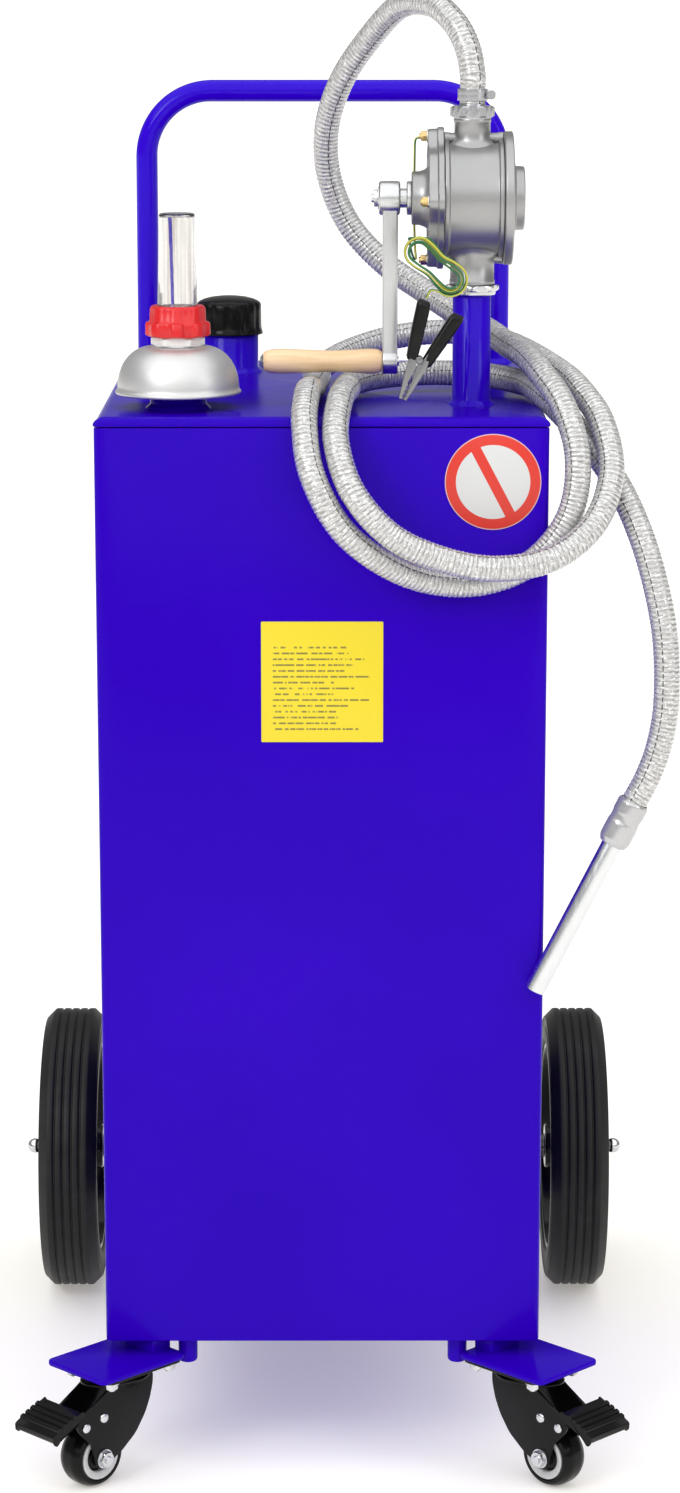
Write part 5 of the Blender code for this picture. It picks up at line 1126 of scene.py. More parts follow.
@dataclass
class EarthWire:
    """The two-coloured earth wire: down past the gland, into its hank and on to the clamp."""

    radius: float = 0.0009
    pitch: float = 0.003
    loops: float = 4.5
    loop_points: int = 60
    hank_length: float = 0.058
    hank_width: float = 0.026
    waist_share: float = 0.18
    hank_centre: Triple = (0.0868, 0.03, 0.97)
    tilt: float = math.radians(40)
    route: tuple = (
        (0.0762, 0.0925, 1.0642), (0.0740, 0.0925, 1.0641), (0.0726, 0.0935, 1.0615),
        (0.0724, 0.0970, 1.0530), (0.0724, 0.1050, 1.0400), (0.0724, 0.1140, 1.0260),
        (0.0724, 0.1165, 1.0120), (0.0726, 0.1110, 0.9960), (0.0730, 0.1010, 0.9790),
        (0.0736, 0.0925, 0.9717), (0.0722, 0.0830, 0.9715), (0.0702, 0.0710, 0.9760),
        (0.0686, 0.0590, 0.9825), (0.0678, 0.0470, 0.9880), (0.0682, 0.0375, 0.9905),
    )

    def hank(self) -> np.ndarray:
        """The hank's points: stadium loops drawn in at the waist, which step in, cross over and step out.

        A point's travel round its loop is a straight run, a half circle, the run back and the other half
        circle; the loop's half width shrinks by the pitch a turn up to the middle turn and grows again.

        Returns:
            The points.
        """
        turns = np.linspace(0, self.loops, round(self.loops * self.loop_points) + 1)
        half = self.hank_width / 2 - self.pitch * np.minimum(turns, self.loops - turns)
        run = (self.hank_length - self.hank_width) / 2
        bend = math.pi * half
        travel = (turns % 1) * (4 * run + 2 * bend) - run
        first, second = (travel - run) / half, (travel - 3 * run - bend) / half
        stages = [travel < run, travel < run + bend, travel < 3 * run + bend]
        along = np.select(stages, [travel, run + half * np.sin(first), 2 * run + bend - travel],
                          -run - half * np.sin(second))
        across = np.select(stages, [half, half * np.cos(first), -half], -half * np.cos(second))
        across = across * (1 - self.waist_share * np.exp(-(along / (run / 2)) ** 2))
        depth = self.pitch * (0.5 - np.clip((turns - self.loops / 2) * 2 + 0.5, 0, 1))
        cosine, sine = math.cos(self.tilt), math.sin(self.tilt)
        x, y, z = self.hank_centre
        return np.column_stack([x + along * cosine + across * sine, y + FRONT_Y + depth,
                                z - along * sine + across * cosine])

    def build(self) -> None:
        clamp = EarthClamp()
        hank = self.hank()
        way_in = [(x, y + FRONT_Y, z) for x, y, z in self.route] + [hank[0], hank[3]]
        lead_in = smooth_curve(way_in, 12)[:-13]
        way_out = (hank[-1] - hank[-2]) / np.linalg.norm(hank[-1] - hank[-2])
        grip = clamp.point(-clamp.spread, 0, clamp.handle + HAIR)
        up = clamp.point(0, 0, 1) - clamp.point(0, 0, 0)
        above = grip + up * 6 * self.radius
        middle = (hank[-1] + way_out * 6 * self.radius + above) / 2
        lead = smooth_curve([hank[-1], hank[-1] + way_out * 2 * self.radius, middle, above,
                             grip + up * 2 * self.radius, grip], 8)[1:]
        curve = np.vstack([lead_in, hank, lead])
        length = distances(curve)[-1]
        path = evenly(curve, round(length / 0.0012))
        wire = build_piece("earth_wire", [swept(path, self.radius, 8)], WIRE,
                           replaces=("wire_hank", "wire_lead"), sharp=70, weld=False)
        clamp.build()


@dataclass
class EarthClamp:
    """The crocodile clamp on the earth wire: steel halves on a rivet, in black sleeves."""

    centre: Triple = (0.0752, 0.03, 0.8982)
    lean: float = math.radians(23)
    handle: float = 0.045
    spread: float = 0.0135
    handle_width: float = 0.0085
    jaw: float = 0.033
    tip: float = 0.0032
    half_width: float = 0.0085
    throat: float = 0.0055
    thickness: float = 0.01
    lug: float = 0.0016
    knuckle: float = 0.005
    teeth: int = 4
    tooth: float = 0.0012

    def place(self) -> Place:
        """The clamp's own directions.

        Returns:
            The place: across, towards the rear, and up the clamp's leaning middle.
        """
        cosine, sine = math.cos(self.lean), math.sin(self.lean)
        x, y, z = self.centre
        return Place((x, y + FRONT_Y, z), ((cosine, 0, -sine), (0, 1, 0), (sine, 0, cosine)))

    def point(self, across: float, rear: float, up: float) -> np.ndarray:
        """A point of the clamp's own in the frame's axes."""
        return self.place().put(np.array((across, rear, up)))

    def outline(self, side: int) -> np.ndarray:
        """One half's outline, jaw with teeth and handle.

        Args:
            side: -1 for the left half and 1 for the right.

        Returns:
            The points, anticlockwise seen from the front.
        """
        inner, high = self.handle_width / 2, self.handle - 0.006
        outer = self.half_width - 0.001
        points = [(self.tip, -self.jaw), (outer, -self.throat), (outer, self.throat),
                  (self.spread + inner - 0.0022, high), (self.spread - inner + 0.0022, high),
                  (0.7 * self.knuckle, 0.7 * self.knuckle), (HAIR, -self.throat)]
        step = (self.jaw - self.throat) / 2 / self.teeth
        start = self.jaw - step * self.teeth
        for number in range(self.teeth):
            height = -start - number * step
            points += [(HAIR + self.tooth, height), (HAIR, height - step / 2)]
        points.append((HAIR, -self.jaw))
        outline = np.array([(side * across, up) for across, up in points])
        return outline if side > 0 else outline[::-1]

    def sleeve(self, side: int, half_depth: float) -> Shell:
        """A soft sleeve on a handle: rounded rectangles from the throat to the end, fuller in the middle.

        Args:
            side: -1 for the left half and 1 for the right.
            half_depth: half its size towards the rear.

        Returns:
            The shell.
        """
        shares = np.linspace(0, 1, 25)
        across = side * (0.0056 + (self.spread - 0.0048) * shares)
        heights = -0.003 + (self.handle + 0.0015) * shares
        ends = 0.3 * np.clip(shares - 0.94, 0, 1) / 0.06 + 0.2 * np.clip(0.04 - shares, 0, 1) / 0.04
        swell = 0.8 + 0.22 * shares + 0.06 * np.sin(math.pi * shares) - ends
        ring = rounded_rectangle(self.handle_width * 1.28, 2 * half_depth, 0.0034, 5)
        grid = ring[None] * swell[:, None, None]
        points = np.stack([grid[..., 0] + across[:, None], grid[..., 1],
                           np.broadcast_to(heights[:, None], grid.shape[:2])], axis=-1)
        return Shell(self.place().put(points))

    def half(self, name: str, side: int, depth: float, body: str, node: str) -> bpy.types.Object:
        """One half in steel, from its outline; its sleeve is a piece of its own.

        Args:
            name: the piece's name.
            side: -1 for the left half and 1 for the right.
            depth: half its size towards the rear.
            body: the body that carries it.
            node: the frame's node that it stands for.

        Returns:
            The steel half.
        """
        here = self.place()
        front = Place(here.origin, (here.rows[0], here.rows[2], tuple(-np.array(here.rows[1]))))
        plate = extruded(self.outline(side), -depth, depth, front, 0.0004, 2)
        head = [(0.0, -depth - 0.0012), (0.0026, -depth - 0.001), (0.003, -depth)]
        rivet = turned(mirrored(head), 0.0005, front, 24)
        return build_piece(name, [plate, rivet] if side < 0 else [plate], STEEL, body, (node,), sharp=30)

    def build(self) -> bpy.types.Object:
        """Both halves and both sleeves.

        Returns:
            The left sleeve, in which the wire ends.
        """
        wide = self.thickness / 2 + HAIR + self.lug
        self.half("clamp_frame", -1, wide - 0.0016, "tank", "clamp_body")
        self.half("clamp_bite", 1, self.thickness / 2 - 0.0008, "jaw", "clamp_jaw")
        build_piece("clamp_sleeve_right", [self.sleeve(1, self.thickness / 2)], RUBBER, "jaw", sharp=40)
        return build_piece("clamp_sleeve_left", [self.sleeve(-1, wide)], RUBBER, "tank", sharp=40)


# Tank, handle and necks
@dataclass
class Tank:
    """The enamelled tank: its bent wrap, a folded lid over a seam, and a base on stub feet."""

    width: float = 0.348
    depth: float = 0.44
    floor: float = 0.112
    seam: float = 0.8492
    corner: float = 0.005
    bend: float = 0.007
    wall: float = 0.002
    ear: float = 0.0018
    ear_reach: float = 0.009
    ear_height: float = 0.004
    foot_x: float = 0.109
    foot_y: float = 0.02
    foot_low: float = 0.0885
    foot_radius: float = 0.0078
    shares: tuple = (0.0, 0.008, 0.02, 0.04, 0.08, 0.2, 0.5, 0.8, 0.92, 0.96, 0.98, 0.992)

    def ring(self, draw: float, height: float) -> np.ndarray:
        """A level ring of the tank's skin.

        Args:
            draw: how far it lies inside the tank's plan.
            height: its height.

        Returns:
            The ring's points: round corners with more points along the sides near them. By the lid's rim
            each corner stands out by ear exp(-(d / 9 mm)^2 - (h / 4 mm)^2), d from the corner in plan.
        """
        corner = max(self.corner - draw, 0.0006)
        flat = rounded_rectangle(self.width - 2 * draw, self.depth - 2 * draw, corner)
        runs = []
        for number in range(4):
            group, following = flat[7 * number:7 * number + 7], flat[(7 * number + 7) % 28]
            runs += [group[:-1], group[-1] + (following - group[-1]) * np.array(self.shares)[:, None]]
        plan = np.concatenate(runs)
        half = np.array((self.width, self.depth)) / 2
        apart = np.linalg.norm(half - np.abs(plan), axis=1, keepdims=True) / self.ear_reach
        above = (height - self.seam - 0.0025) / self.ear_height
        plan = plan + np.sign(plan) * self.ear * np.exp(-apart ** 2 - above ** 2) * (draw < self.wall)
        middle = FRONT_Y + self.depth / 2
        return np.column_stack([plan[:, 0], plan[:, 1] + middle, np.full(len(plan), height)])

    def skin(self, rows: Sequence[Sequence[float]], looped: bool = False) -> Shell:
        """The shell through rings of (draw, height)."""
        return Shell(np.stack([self.ring(draw, height) for draw, height in rows]), looped)

    def build(self) -> None:
        """The wrap with both its faces, the lid with its rolled edge, and the base with its feet."""
        wall, floor, seam = self.wall, self.floor, self.seam - HAIR
        wrap = [(0.0, floor + 0.0016), (0.0, seam - 0.001), (0.0004, seam - 0.0002), (0.001, seam),
                (wall, seam), (wall, floor), (0.0012, floor), (0.0004, floor + 0.0005)]
        build_piece("tank_wrap_skin", [self.skin(wrap, True)], BLUE, replaces=("tank_wrap",), weld=False)
        rim, top = self.seam + HAIR, LID_TOP
        turns = [(self.bend * (1 - math.cos(a)), top - self.bend * (1 - math.sin(a)))
                 for a in np.linspace(0.15, QUARTER, 9)]
        lid = [(self.bend + wall, top - wall), (wall + 0.002, top - wall - 0.002), (wall, rim),
               (0.0012, rim), (0.0003, rim + 0.0004), *turns]
        build_piece("tank_lid", [self.skin(lid)], BLUE, replaces=("tank_top",), sharp=60)
        base = [(wall + HAIR, floor + 0.001), (wall + HAIR, floor + 0.003)]
        spots = [Place.at(side * self.foot_x, FRONT_Y + self.foot_y, 0.0) for side in (-1, 1)]
        feet = [disc(self.foot_radius, self.foot_low, floor + 0.0015, spot, 32, 0.0035, 5) for spot in spots]
        build_piece("tank_underside", [self.skin(base), *feet], BLUE, replaces=("tank_base",))


@dataclass
class Pipework:
    """The blue pipes on the lid: three necks and the bent handle, each in its weld bead."""

    bead: float = 0.0036
    bead_height: float = 0.004
    bead_section: Section = ((1.0, 0.0, 1.0), (0.86, 0.22, 1.0), (0.5, 0.5, 0.8), (0.18, 0.78, 0.4),
                             (0.0, 1.1, 0.0))
    necks: tuple = (("gauge_pipe", "gauge_neck", 0.022, 0.02, 0.9029, *GAUGE_SPOT),
                    ("filler_pipe", "filler_neck", 0.025, 0.023, 0.905, *FILLER_SPOT),
                    ("pump_pipe", "pump_riser", 0.015, 0.0125, 0.965, INLET_X, SHAFT_Y))
    handle_x: float = 0.15215
    handle_y: float = 0.1604212
    handle_radius: float = 0.00935
    handle_top: float = 1.09065
    handle_bend: float = 0.056
    bend_steps: int = 25
    leg_steps: int = 11

    def neck(self, name: str, node: str, radius: float, bore: float, top: float, x: float,
             y: float) -> None:
        """A pipe with a rippled bead at its foot: the bead's radius varies as two sines of the angle.

        Args:
            name: the piece's name.
            node: the frame's node that it stands for.
            radius: its outer radius.
            bore: its inner radius.
            top: its upper end.
            x: its place to the right.
            y: its place to the rear.
        """
        low = LID_TOP - HAIR / 3
        rows = [(bore, low, 0.0), *self.bead_rows(radius, low), (radius, top - 0.0006, 0.0),
                (radius - 0.0006, top, 0.0), (bore, top, 0.0)]
        pipe = around(rows, self.rippled, Place.at(x, y, 0.0), 72, True)
        build_piece(name, [pipe], LIT_PIPE_BLUE, replaces=(node,), sharp=50)

    def bead_rows(self, radius: float, low: float) -> list[tuple[float, float, float]]:
        """A bead's rows of radius, height and ripple."""
        return [(radius + self.bead * out, low + self.bead_height * up, ripple)
                for out, up, ripple in self.bead_section]

    @staticmethod
    def rippled(rows: np.ndarray, angles: np.ndarray) -> np.ndarray:
        """The rows' radii with the weld's uneven ripple."""
        ripple = 0.00035 * np.sin(17 * angles) + 0.0002 * np.sin(29 * angles + 1)
        return rows[:, :1] + rows[:, 2:3] * ripple

    def handle(self) -> None:
        """The handle's one tube: legs, two quarter bends and the bar; bends flatten it slightly."""
        bend, x, y, top = self.handle_bend, self.handle_x, self.handle_y, self.handle_top
        count, rows = self.bend_steps, self.leg_steps
        angles = np.linspace(0, QUARTER, count)
        corner = np.column_stack([-x + bend * (1 - np.cos(angles)), np.full(count, y),
                                  top - bend + bend * np.sin(angles)])
        heights = np.linspace(LID_TOP + HAIR, top - bend, rows + 1)[:-1]
        half = np.vstack([np.column_stack([np.full(rows, -x), np.full(rows, y), heights]), corner])
        across = np.linspace(-x + bend, x - bend, rows + 1)[1:-1]
        bar = np.column_stack([across, np.full(rows - 1, y), np.full(rows - 1, top)])
        path = np.vstack([half, bar, half[::-1] * (-1, 1, 1)])
        reach = np.full(len(path), self.handle_radius)
        pinch = 1 - 0.03 * np.sin(np.linspace(0, math.pi, count)) ** 0.5
        reach[rows:rows + count] *= pinch
        reach[-rows - count:-rows] *= pinch
        low = LID_TOP - HAIR / 3
        bead = [*self.bead_rows(self.handle_radius - 0.0002, low), (0.0, low + 0.005, 0.0)]
        beads = [around(bead, self.rippled, Place.at(foot, y, 0.0), 48) for foot in (-x, x)]
        build_piece("handle_tube", [swept(path, reach, 40), *beads], LIT_PIPE_BLUE,
                    replaces=("handle_frame",), sharp=60)

    def build(self) -> None:
        """The necks in turn, then the handle."""
        for neck in self.necks:
            self.neck(*neck)
        self.handle()


@dataclass
class RunningGear:
    """The rear wheels with tyres, rims and acorn nuts on their axle."""

    axle_y: float = 0.2074212
    axle_z: float = 0.127
    wheel_x: float = 0.22975
    width: float = 0.0515
    radius: float = 0.127
    seat: float = 0.096
    shoulder: float = 0.008
    ribs: int = 5
    groove: float = 0.0024
    groove_depth: float = 0.0014
    hub: float = 0.021
    web: Section = ((0.06, 0.003), (0.052, 0.0065), (0.036, 0.0065), (0.028, 0.0035))
    axle_radius: float = 0.008
    axle_end: Section = ((0.0, -0.263), (0.0054, -0.263), (0.0054, -0.256))
    axle_shoulder: float = 0.2554
    spacer: float = 0.0115
    spacer_start: float = 0.1565
    nut_x: float = 0.2558
    dome: float = 0.0068
    dome_height: float = 0.0117

    def tread(self) -> Profile:
        """The tyre's section from one wall over the ribs to the other.

        Returns:
            The corners: flat ribs with grooves between them.
        """
        half, tread, low = self.width / 2, self.width / 2 - self.shoulder, self.radius - self.groove_depth
        rib = (2 * tread - (self.ribs - 1) * self.groove) / self.ribs
        wall = [(self.seat, half - 0.003), (self.seat + 0.003, half), (self.radius - 0.018, half),
                (self.radius - 0.0165, half - 0.0012), (self.radius - 0.01, half - 0.0012),
                (self.radius - self.shoulder, half)]
        profile = list(wall)
        for number in range(self.ribs):
            start = tread - number * (rib + self.groove)
            profile += [(self.radius, start), (self.radius + 0.0002, start - rib / 2),
                        (self.radius, start - rib)]
            if number < self.ribs - 1:
                profile += [(low, start - rib - share * self.groove) for share in (0.3, 0.7)]
        return profile + [(reach, -across) for reach, across in wall[::-1]]

    def wheel(self, label: str, side: int) -> None:
        """One wheel: tyre, dished rim with a stepped web and hub, and its acorn nut.

        Args:
            label: left or right.
            side: -1 for the left and 1 for the right.
        """
        here = Place.at(side * self.wheel_x, self.axle_y, self.axle_z, Facing.RIGHT)
        body, half = "rear_wheel_" + label, self.width / 2
        tyre = turned(self.tread(), 0.0008, here, 144, 3, looped=True)
        build_piece("tyre_" + label, [tyre], TYRE, body, ("wheel_tyre_" + label,), sharp=40)
        barrel, bore = self.seat - HAIR, self.axle_radius + HAIR
        section = [(barrel, half - 0.002), (barrel - 0.004, half - 0.0015), (barrel - 0.005, 0.012),
                   (barrel - 0.012, 0.004), *self.web, (self.hub, 0.004), (self.hub - 0.001, half),
                   (bore, half)]
        rim = turned(mirrored(section), 0.002, here, 96, 3, looped=True)
        build_piece("rim_" + label, [rim], BLACK_ENAMEL, body, ("wheel_rim_" + label,), sharp=40)
        outward = Place.toward((side * self.nut_x, self.axle_y, self.axle_z), (side, 0, 0))
        hexagon = many_sided(6, 0.02, 0.0, 0.0058, outward, 0.001)
        cap = [(self.dome * math.cos(a), self.dome_height + self.dome * math.sin(a))
               for a in np.linspace(-0.55, 1.5708, 16)]
        dome = revolved([(0.0076, 0.005), (0.0076, 0.0064), (0.0056, 0.0078), *cap], outward, 40)
        build_piece("acorn_nut_" + label, [hexagon, dome], CHROME, replaces=("axle_nut_" + label,), sharp=30)

    def build(self) -> None:
        """Both wheels, the bright axle and the blue bracket's paint."""
        for label, side in (("left", -1), ("right", 1)):
            self.wheel(label, side)
        here = Place.at(0.0, self.axle_y, self.axle_z, Facing.RIGHT)
        inner = self.wheel_x - self.width / 2 - HAIR
        spacers = [disc(self.spacer, sign * self.spacer_start, sign * inner, here, 40, 0.0008)
                   for sign in (-1, 1)]
        rod = turned(mirrored([*self.axle_end, (self.axle_radius, -self.axle_shoulder)]), 0.0003, here, 40)
        build_piece("axle_rod", [rod, *spacers], ZINC, replaces=("rear_axle",), sharp=40)
        dress_node("axle_bracket", BLUE)


@dataclass
class Caster:
    """One braked caster: blue plate, black mount and fork, ringed wheel, bolts and pedal."""

    label: str
    side: int
    heading: float
    pin_x: float = 0.1625
    pin_y: float = -0.2555788
    fork_top: float = 0.0862
    trail: float = 0.033
    wheel: float = 0.0255
    width: float = 0.024
    inner: float = 0.0138
    cheek: float = 0.0025
    pin_t: float = 0.052
    pin_z: float = 0.0565
    rivet_t: float = 0.033
    rivet_z: float = 0.06
    bolt_t: float = 0.031
    bolt_aside: float = 0.0235
    race: Section = ((0.0, 0.093), (0.0235, 0.093), (0.0225, 0.091), (0.02, 0.089))
    kingpin: Section = ((0.0045, 0.0834), (0.008, 0.0834), (0.007, 0.0812), (0.0, 0.0812))
    back: Section = ((-0.62, 1.0), (-0.62, 0.89), (-0.52, 0.74), (-0.35, 0.6), (-0.03, 0.435),
                     (0.23, 0.362), (0.45, 0.3))
    front: Section = ((1.39, 0.464), (1.71, 0.586), (1.82, 0.65), (1.82, 0.742), (1.03, 0.911),
                      (0.67, 1.0))
    tread_lean: float = math.radians(158)
    tread_tip: tuple[float, float] = (0.09, 0.0575)
    tread_half: float = 0.023
    tread_end: float = 0.033
    lip: Section = ((0.004, 0.0), (0.003, 0.0028), (0.0004, 0.0034), (-0.0012, 0.0006), (0.0, -0.0036))
    steps: int = 4
    step: Section = ((0.0, -0.0042), (0.0008, -0.006), (0.003, -0.006), (0.0038, -0.0042))

    def directions(self) -> tuple[Triple, Triple]:
        """The way the caster trails, and the level way square to it."""
        angle = math.radians(self.heading)
        return (math.cos(angle), math.sin(angle), 0.0), (-math.sin(angle), math.cos(angle), 0.0)

    def level(self) -> Place:
        """The place for level shapes: trail, sideways, up."""
        trail, aside = self.directions()
        return Place((self.side * self.pin_x, self.pin_y, 0.0), (trail, aside, (0, 0, 1)))

    def upright(self, t: float = 0.0, z: float = 0.0) -> Place:
        """The place for shapes seen from the side: trail, up, and sideways.

        Args:
            t: how far along the trail its origin lies.
            z: its origin's height.

        Returns:
            The place.
        """
        trail, aside = self.directions()
        x, y = self.side * self.pin_x + t * trail[0], self.pin_y + t * trail[1]
        return Place((x, y, z), (trail, (0, 0, 1), tuple(-v for v in aside)))

    def piece(self, name: str, shells: Sequence[Shell], finish: Finish, body: str = "", node: str = "",
              sharp: float = 40.0) -> None:
        """A piece whose name, body and node, where it has them, end in the caster's label."""
        end = "_" + self.label
        build_piece(name + end, shells, finish, body + end if body else "tank",
                    (node + end,) if node else (), sharp=sharp)

    def fixed(self) -> None:
        """The plate with its packing, and the mount with its race, kingpin and four bolts."""
        here, low = self.level(), self.fork_top + HAIR
        plate = extruded(rounded_rectangle(0.09, 0.07, 0.006) + (0.0045, 0.0), 0.0955, 0.1, here,
                         0.0014, 4)
        packing = extruded(rounded_rectangle(0.02, 0.034, 0.002) + (-0.0295, 0.0), 0.099, 0.1117, here,
                           0.0004)
        self.piece("blue_plate", [plate, packing], BLUE, node="caster_plate", sharp=50)
        mount = extruded(rounded_rectangle(0.08, 0.064, 0.007), 0.0922, 0.0952, here, 0.0009)
        race = turned([*self.race, (0.019, low), (0.0045, low), *self.kingpin], 0.0008, here, 56, 3)
        self.piece("mount_plate", [mount, race], BLACK_ENAMEL, node="caster_mount", sharp=45)
        bolts = []
        for along, across in ((1, 1), (1, -1), (-1, 1), (-1, -1)):
            origin = here.put(np.array((along * self.bolt_t, across * self.bolt_aside, 0.0)))
            spot = Place(tuple(origin), here.rows)
            bolts += [many_sided(6, 0.0108, 0.0862, 0.0908, spot, 0.001),
                      disc(0.0066, 0.0908, 0.0921, spot, 24),
                      disc(0.003, 0.0844, 0.087, spot, 20, 0.0006)]
        self.piece("plate_bolts", bolts, ZINC, sharp=30)

    def fork(self) -> None:
        """The pressed fork: crown and two cheeks with rounded edges, and its rivets."""
        outer = self.inner + self.cheek
        back, front = ([(self.trail * t, self.fork_top * z) for t, z in rows]
                       for rows in (self.back, self.front))
        outline = rounded(back + arc((self.trail, self.wheel), 0.009, 205, 335, 10) + front, 0.004,
                          closed=True)
        side = self.upright()
        cheeks = [extruded(outline, low, high, side, 0.0008, 3)
                  for low, high in ((self.inner, outer), (-outer, -self.inner))]
        crown = capsule((0.0, 0.0), 0.0235, (self.trail * self.front[-1][0], 0.0), outer, 24)
        top = extruded(crown, self.fork_top - 0.0027, self.fork_top, self.level(), 0.0012, 4)
        self.piece("fork", [*cheeks, top], BLACK_ENAMEL, "caster_swivel", "caster_fork", 45)
        rivet = [(0.0, outer - 0.001), (0.0042, outer - 0.001), (0.0042, outer + 0.0006),
                 (0.0034, outer + 0.0016), (0.0014, outer + 0.0021), (0.0, outer + 0.0021)]
        here = self.upright(self.rivet_t, self.rivet_z)
        rivets = [turned([(r, way * out) for r, out in rivet], 0.0004, here, 24, 2) for way in (-1, 1)]
        self.piece("fork_rivets", rivets, ZINC, "caster_swivel")

    def roller(self) -> None:
        """The wheel: a glossy tyre, a pale ring on a dark core, and the axle bolt with its nuts."""
        here, half = self.upright(self.trail, self.wheel), self.width / 2
        tyre = [(0.0187, half), (self.wheel - 0.003, half), (self.wheel, half - 0.006),
                (self.wheel + 0.0001, 0.0), (self.wheel, 0.006 - half), (self.wheel - 0.003, -half),
                (0.0187, -half)]
        self.piece("roller_tyre", [turned(tyre, 0.003, here, 72, 5, True)], BLACK, "caster_roll",
                   "caster_tyre")
        ring = mirrored([(0.0124, half - 0.0018), (0.0136, half - 0.001), (0.0176, half + 0.0006),
                         (0.0184, half)])
        self.piece("roller_ring", [turned(ring, 0.0006, here, 64, 3, True)], GREY, "caster_roll",
                   "caster_hub")
        end = self.inner - HAIR
        core = mirrored([(0.0036, end), (0.007, end), (0.0078, half - 0.003), (0.012, half - 0.004)])
        self.piece("roller_core", [turned(core, 0.0005, here, 48, 3, True)], BLACK, "caster_roll")
        outer = self.inner + self.cheek
        low, high = outer + HAIR, outer + 0.0045
        shells = [disc(0.0032, -high - 0.002, high + 0.002, here, 28, 0.0006)]
        shells += [many_sided(6, 0.0135, a, b, here, 0.001) for a, b in ((low, high), (-high, -low))]
        shells += [disc(0.0078, a, b, here, 32)
                   for a, b in ((low - 0.0002, low + 0.0006), (-low - 0.0006, -low + 0.0002))]
        self.piece("roller_bolt", shells, ZINC, "caster_swivel", "caster_axle", 30)

    def pedal(self) -> None:
        """The brake pedal: eye and arm, then a broad tread with raised steps and a curled lip."""
        side, reach, outer = self.upright(), self.inner - HAIR, self.inner + self.cheek
        arm = arc((self.pin_t, self.pin_z), 0.0052, 95, 290) + [(0.0665, 0.064), (0.065, 0.069)]
        along = np.array((math.cos(self.tread_lean), math.sin(self.tread_lean)))
        rise = np.array((-along[1], along[0]))
        run = [(self.tread_end, 0.0), *self.lip]
        for number in range(self.steps):
            run += [(0.006 + 0.0056 * number + far, down) for far, down in self.step]
        run += [(self.tread_end, self.step[0][1])]
        tread = [tuple(np.array(self.tread_tip) + u * along + v * rise) for u, v in run][::-1]
        outline, half = rounded(tread, 0.0007, 3, closed=True), self.tread_half
        shells = [extruded(arm, -reach, reach, side, 0.0006),
                  extruded(outline, -half, half, side, 0.0012, 4)]
        self.piece("pedal_tread", shells, BLACK_ENAMEL, "pedal", "brake_pedal", 45)
        pin = [(0.0, -outer - 0.002), (0.0036, -outer - 0.0014), (0.004, -outer - HAIR),
               (0.0024, -outer - HAIR)]
        here = self.upright(self.pin_t, self.pin_z)
        self.piece("pedal_pin", [turned(mirrored(pin), 0.0004, here, 24, 2)], ZINC, "pedal")

    def build(self) -> None:
        """Everything from the blue plate down."""
        self.fixed()
        self.fork()
        self.roller()
        self.pedal()


# Gauge and filler
@dataclass
class Gauge:
    """The fuel gauge: a spun bowl, white hexagon, red lobed nut and clear vial."""

    lip: float = 0.868
    top: float = 0.905
    radius: float = 0.0475
    throat: float = 0.0215
    mouth: float = 0.0153
    bowl_wall: float = 0.0018
    lip_roll: Triple = (0.0016, 0.0018, 0.0018)
    hexagon_top: float = 0.9127
    lobes: int = 8
    nut: Section = (
        (0.0138, 0.913, 0.0), (0.0236, 0.913, 0.001), (0.0253, 0.9142, 0.0022),
        (0.0253, 0.9222, 0.0022), (0.0244, 0.9238, 0.0016), (0.0226, 0.9243, 0.0004),
        (0.0219, 0.9256, 0.0007), (0.0216, 0.934, 0.0009), (0.0209, 0.9358, 0.0006),
        (0.0196, 0.9367, 0.0), (0.0158, 0.9367, 0.0), (0.014, 0.9352, 0.0),
    )
    vial: Section = (
        (0.0, 1.0077), (0.0128, 1.0077), (0.014, 1.0066), (0.0155, 0.9371), (0.0136, 0.9369),
        (0.0134, 0.913), (0.0115, 0.913), (0.0117, 0.9371), (0.012, 1.005), (0.0112, 1.0058),
        (0.0, 1.0058),
    )

    def bowl(self, shift: float) -> Profile:
        """A quarter ellipse from the throat down to the lip, moved in by a wall's thickness.

        Args:
            shift: how far it is moved in.

        Returns:
            The points; the height follows the cosine to the power 0.92.
        """
        low, reach = self.lip + 0.004, self.radius - shift - self.throat
        angles = np.linspace(0, QUARTER, 24)
        heights = low + (self.top - shift - low) * np.maximum(np.cos(angles), 0) ** 0.92
        heights[-1] = low
        return list(zip(self.throat + reach * np.sin(angles), heights))

    def nut_radii(self, rows: np.ndarray, angles: np.ndarray) -> np.ndarray:
        """Each row's radius, less its lobe depth between the lobes."""
        wave = np.clip(0.5 + 0.9 * np.cos(self.lobes * angles), 0, 1)
        return rows[:, :1] - rows[:, 2:3] * (1 - wave)

    def build(self) -> None:
        """From the bowl up to the vial; the float inside keeps the frame's own form."""
        here = Place.at(*GAUGE_SPOT, 0.0)
        out, rise, tall = self.lip_roll
        roll = [(self.radius + out * math.cos(a), self.lip + rise + tall * math.sin(a))
                for a in np.linspace(1.2, -1.9, 9)]
        inner = [(self.mouth, self.top - self.bowl_wall), *self.bowl(self.bowl_wall)]
        bowl = revolved([(self.mouth, self.top), *self.bowl(0.0), *roll, *inner[::-1]], here, 128, True)
        build_piece("spun_bowl", [bowl], SPUN, replaces=("gauge_dome",), sharp=60)
        stem = disc(0.015, self.top - 0.014, self.top + 0.001, here, 48, 0.0006)
        hexagon = many_sided(6, 0.042, self.top + HAIR, self.hexagon_top, here, 0.0013)
        build_piece("white_hexagon", [hexagon, stem], WHITE, replaces=("gauge_adaptor",), sharp=30)
        nut = around(self.nut, self.nut_radii, here, 160, True)
        build_piece("red_nut", [nut], RED, replaces=("gauge_nut",), sharp=40)
        vial = turned(self.vial, 0.0005, here, 72, 3)
        build_piece("clear_vial", [vial], CLEAR, replaces=("gauge_vial",), sharp=50)
        dress_node("float_gauge", RED)


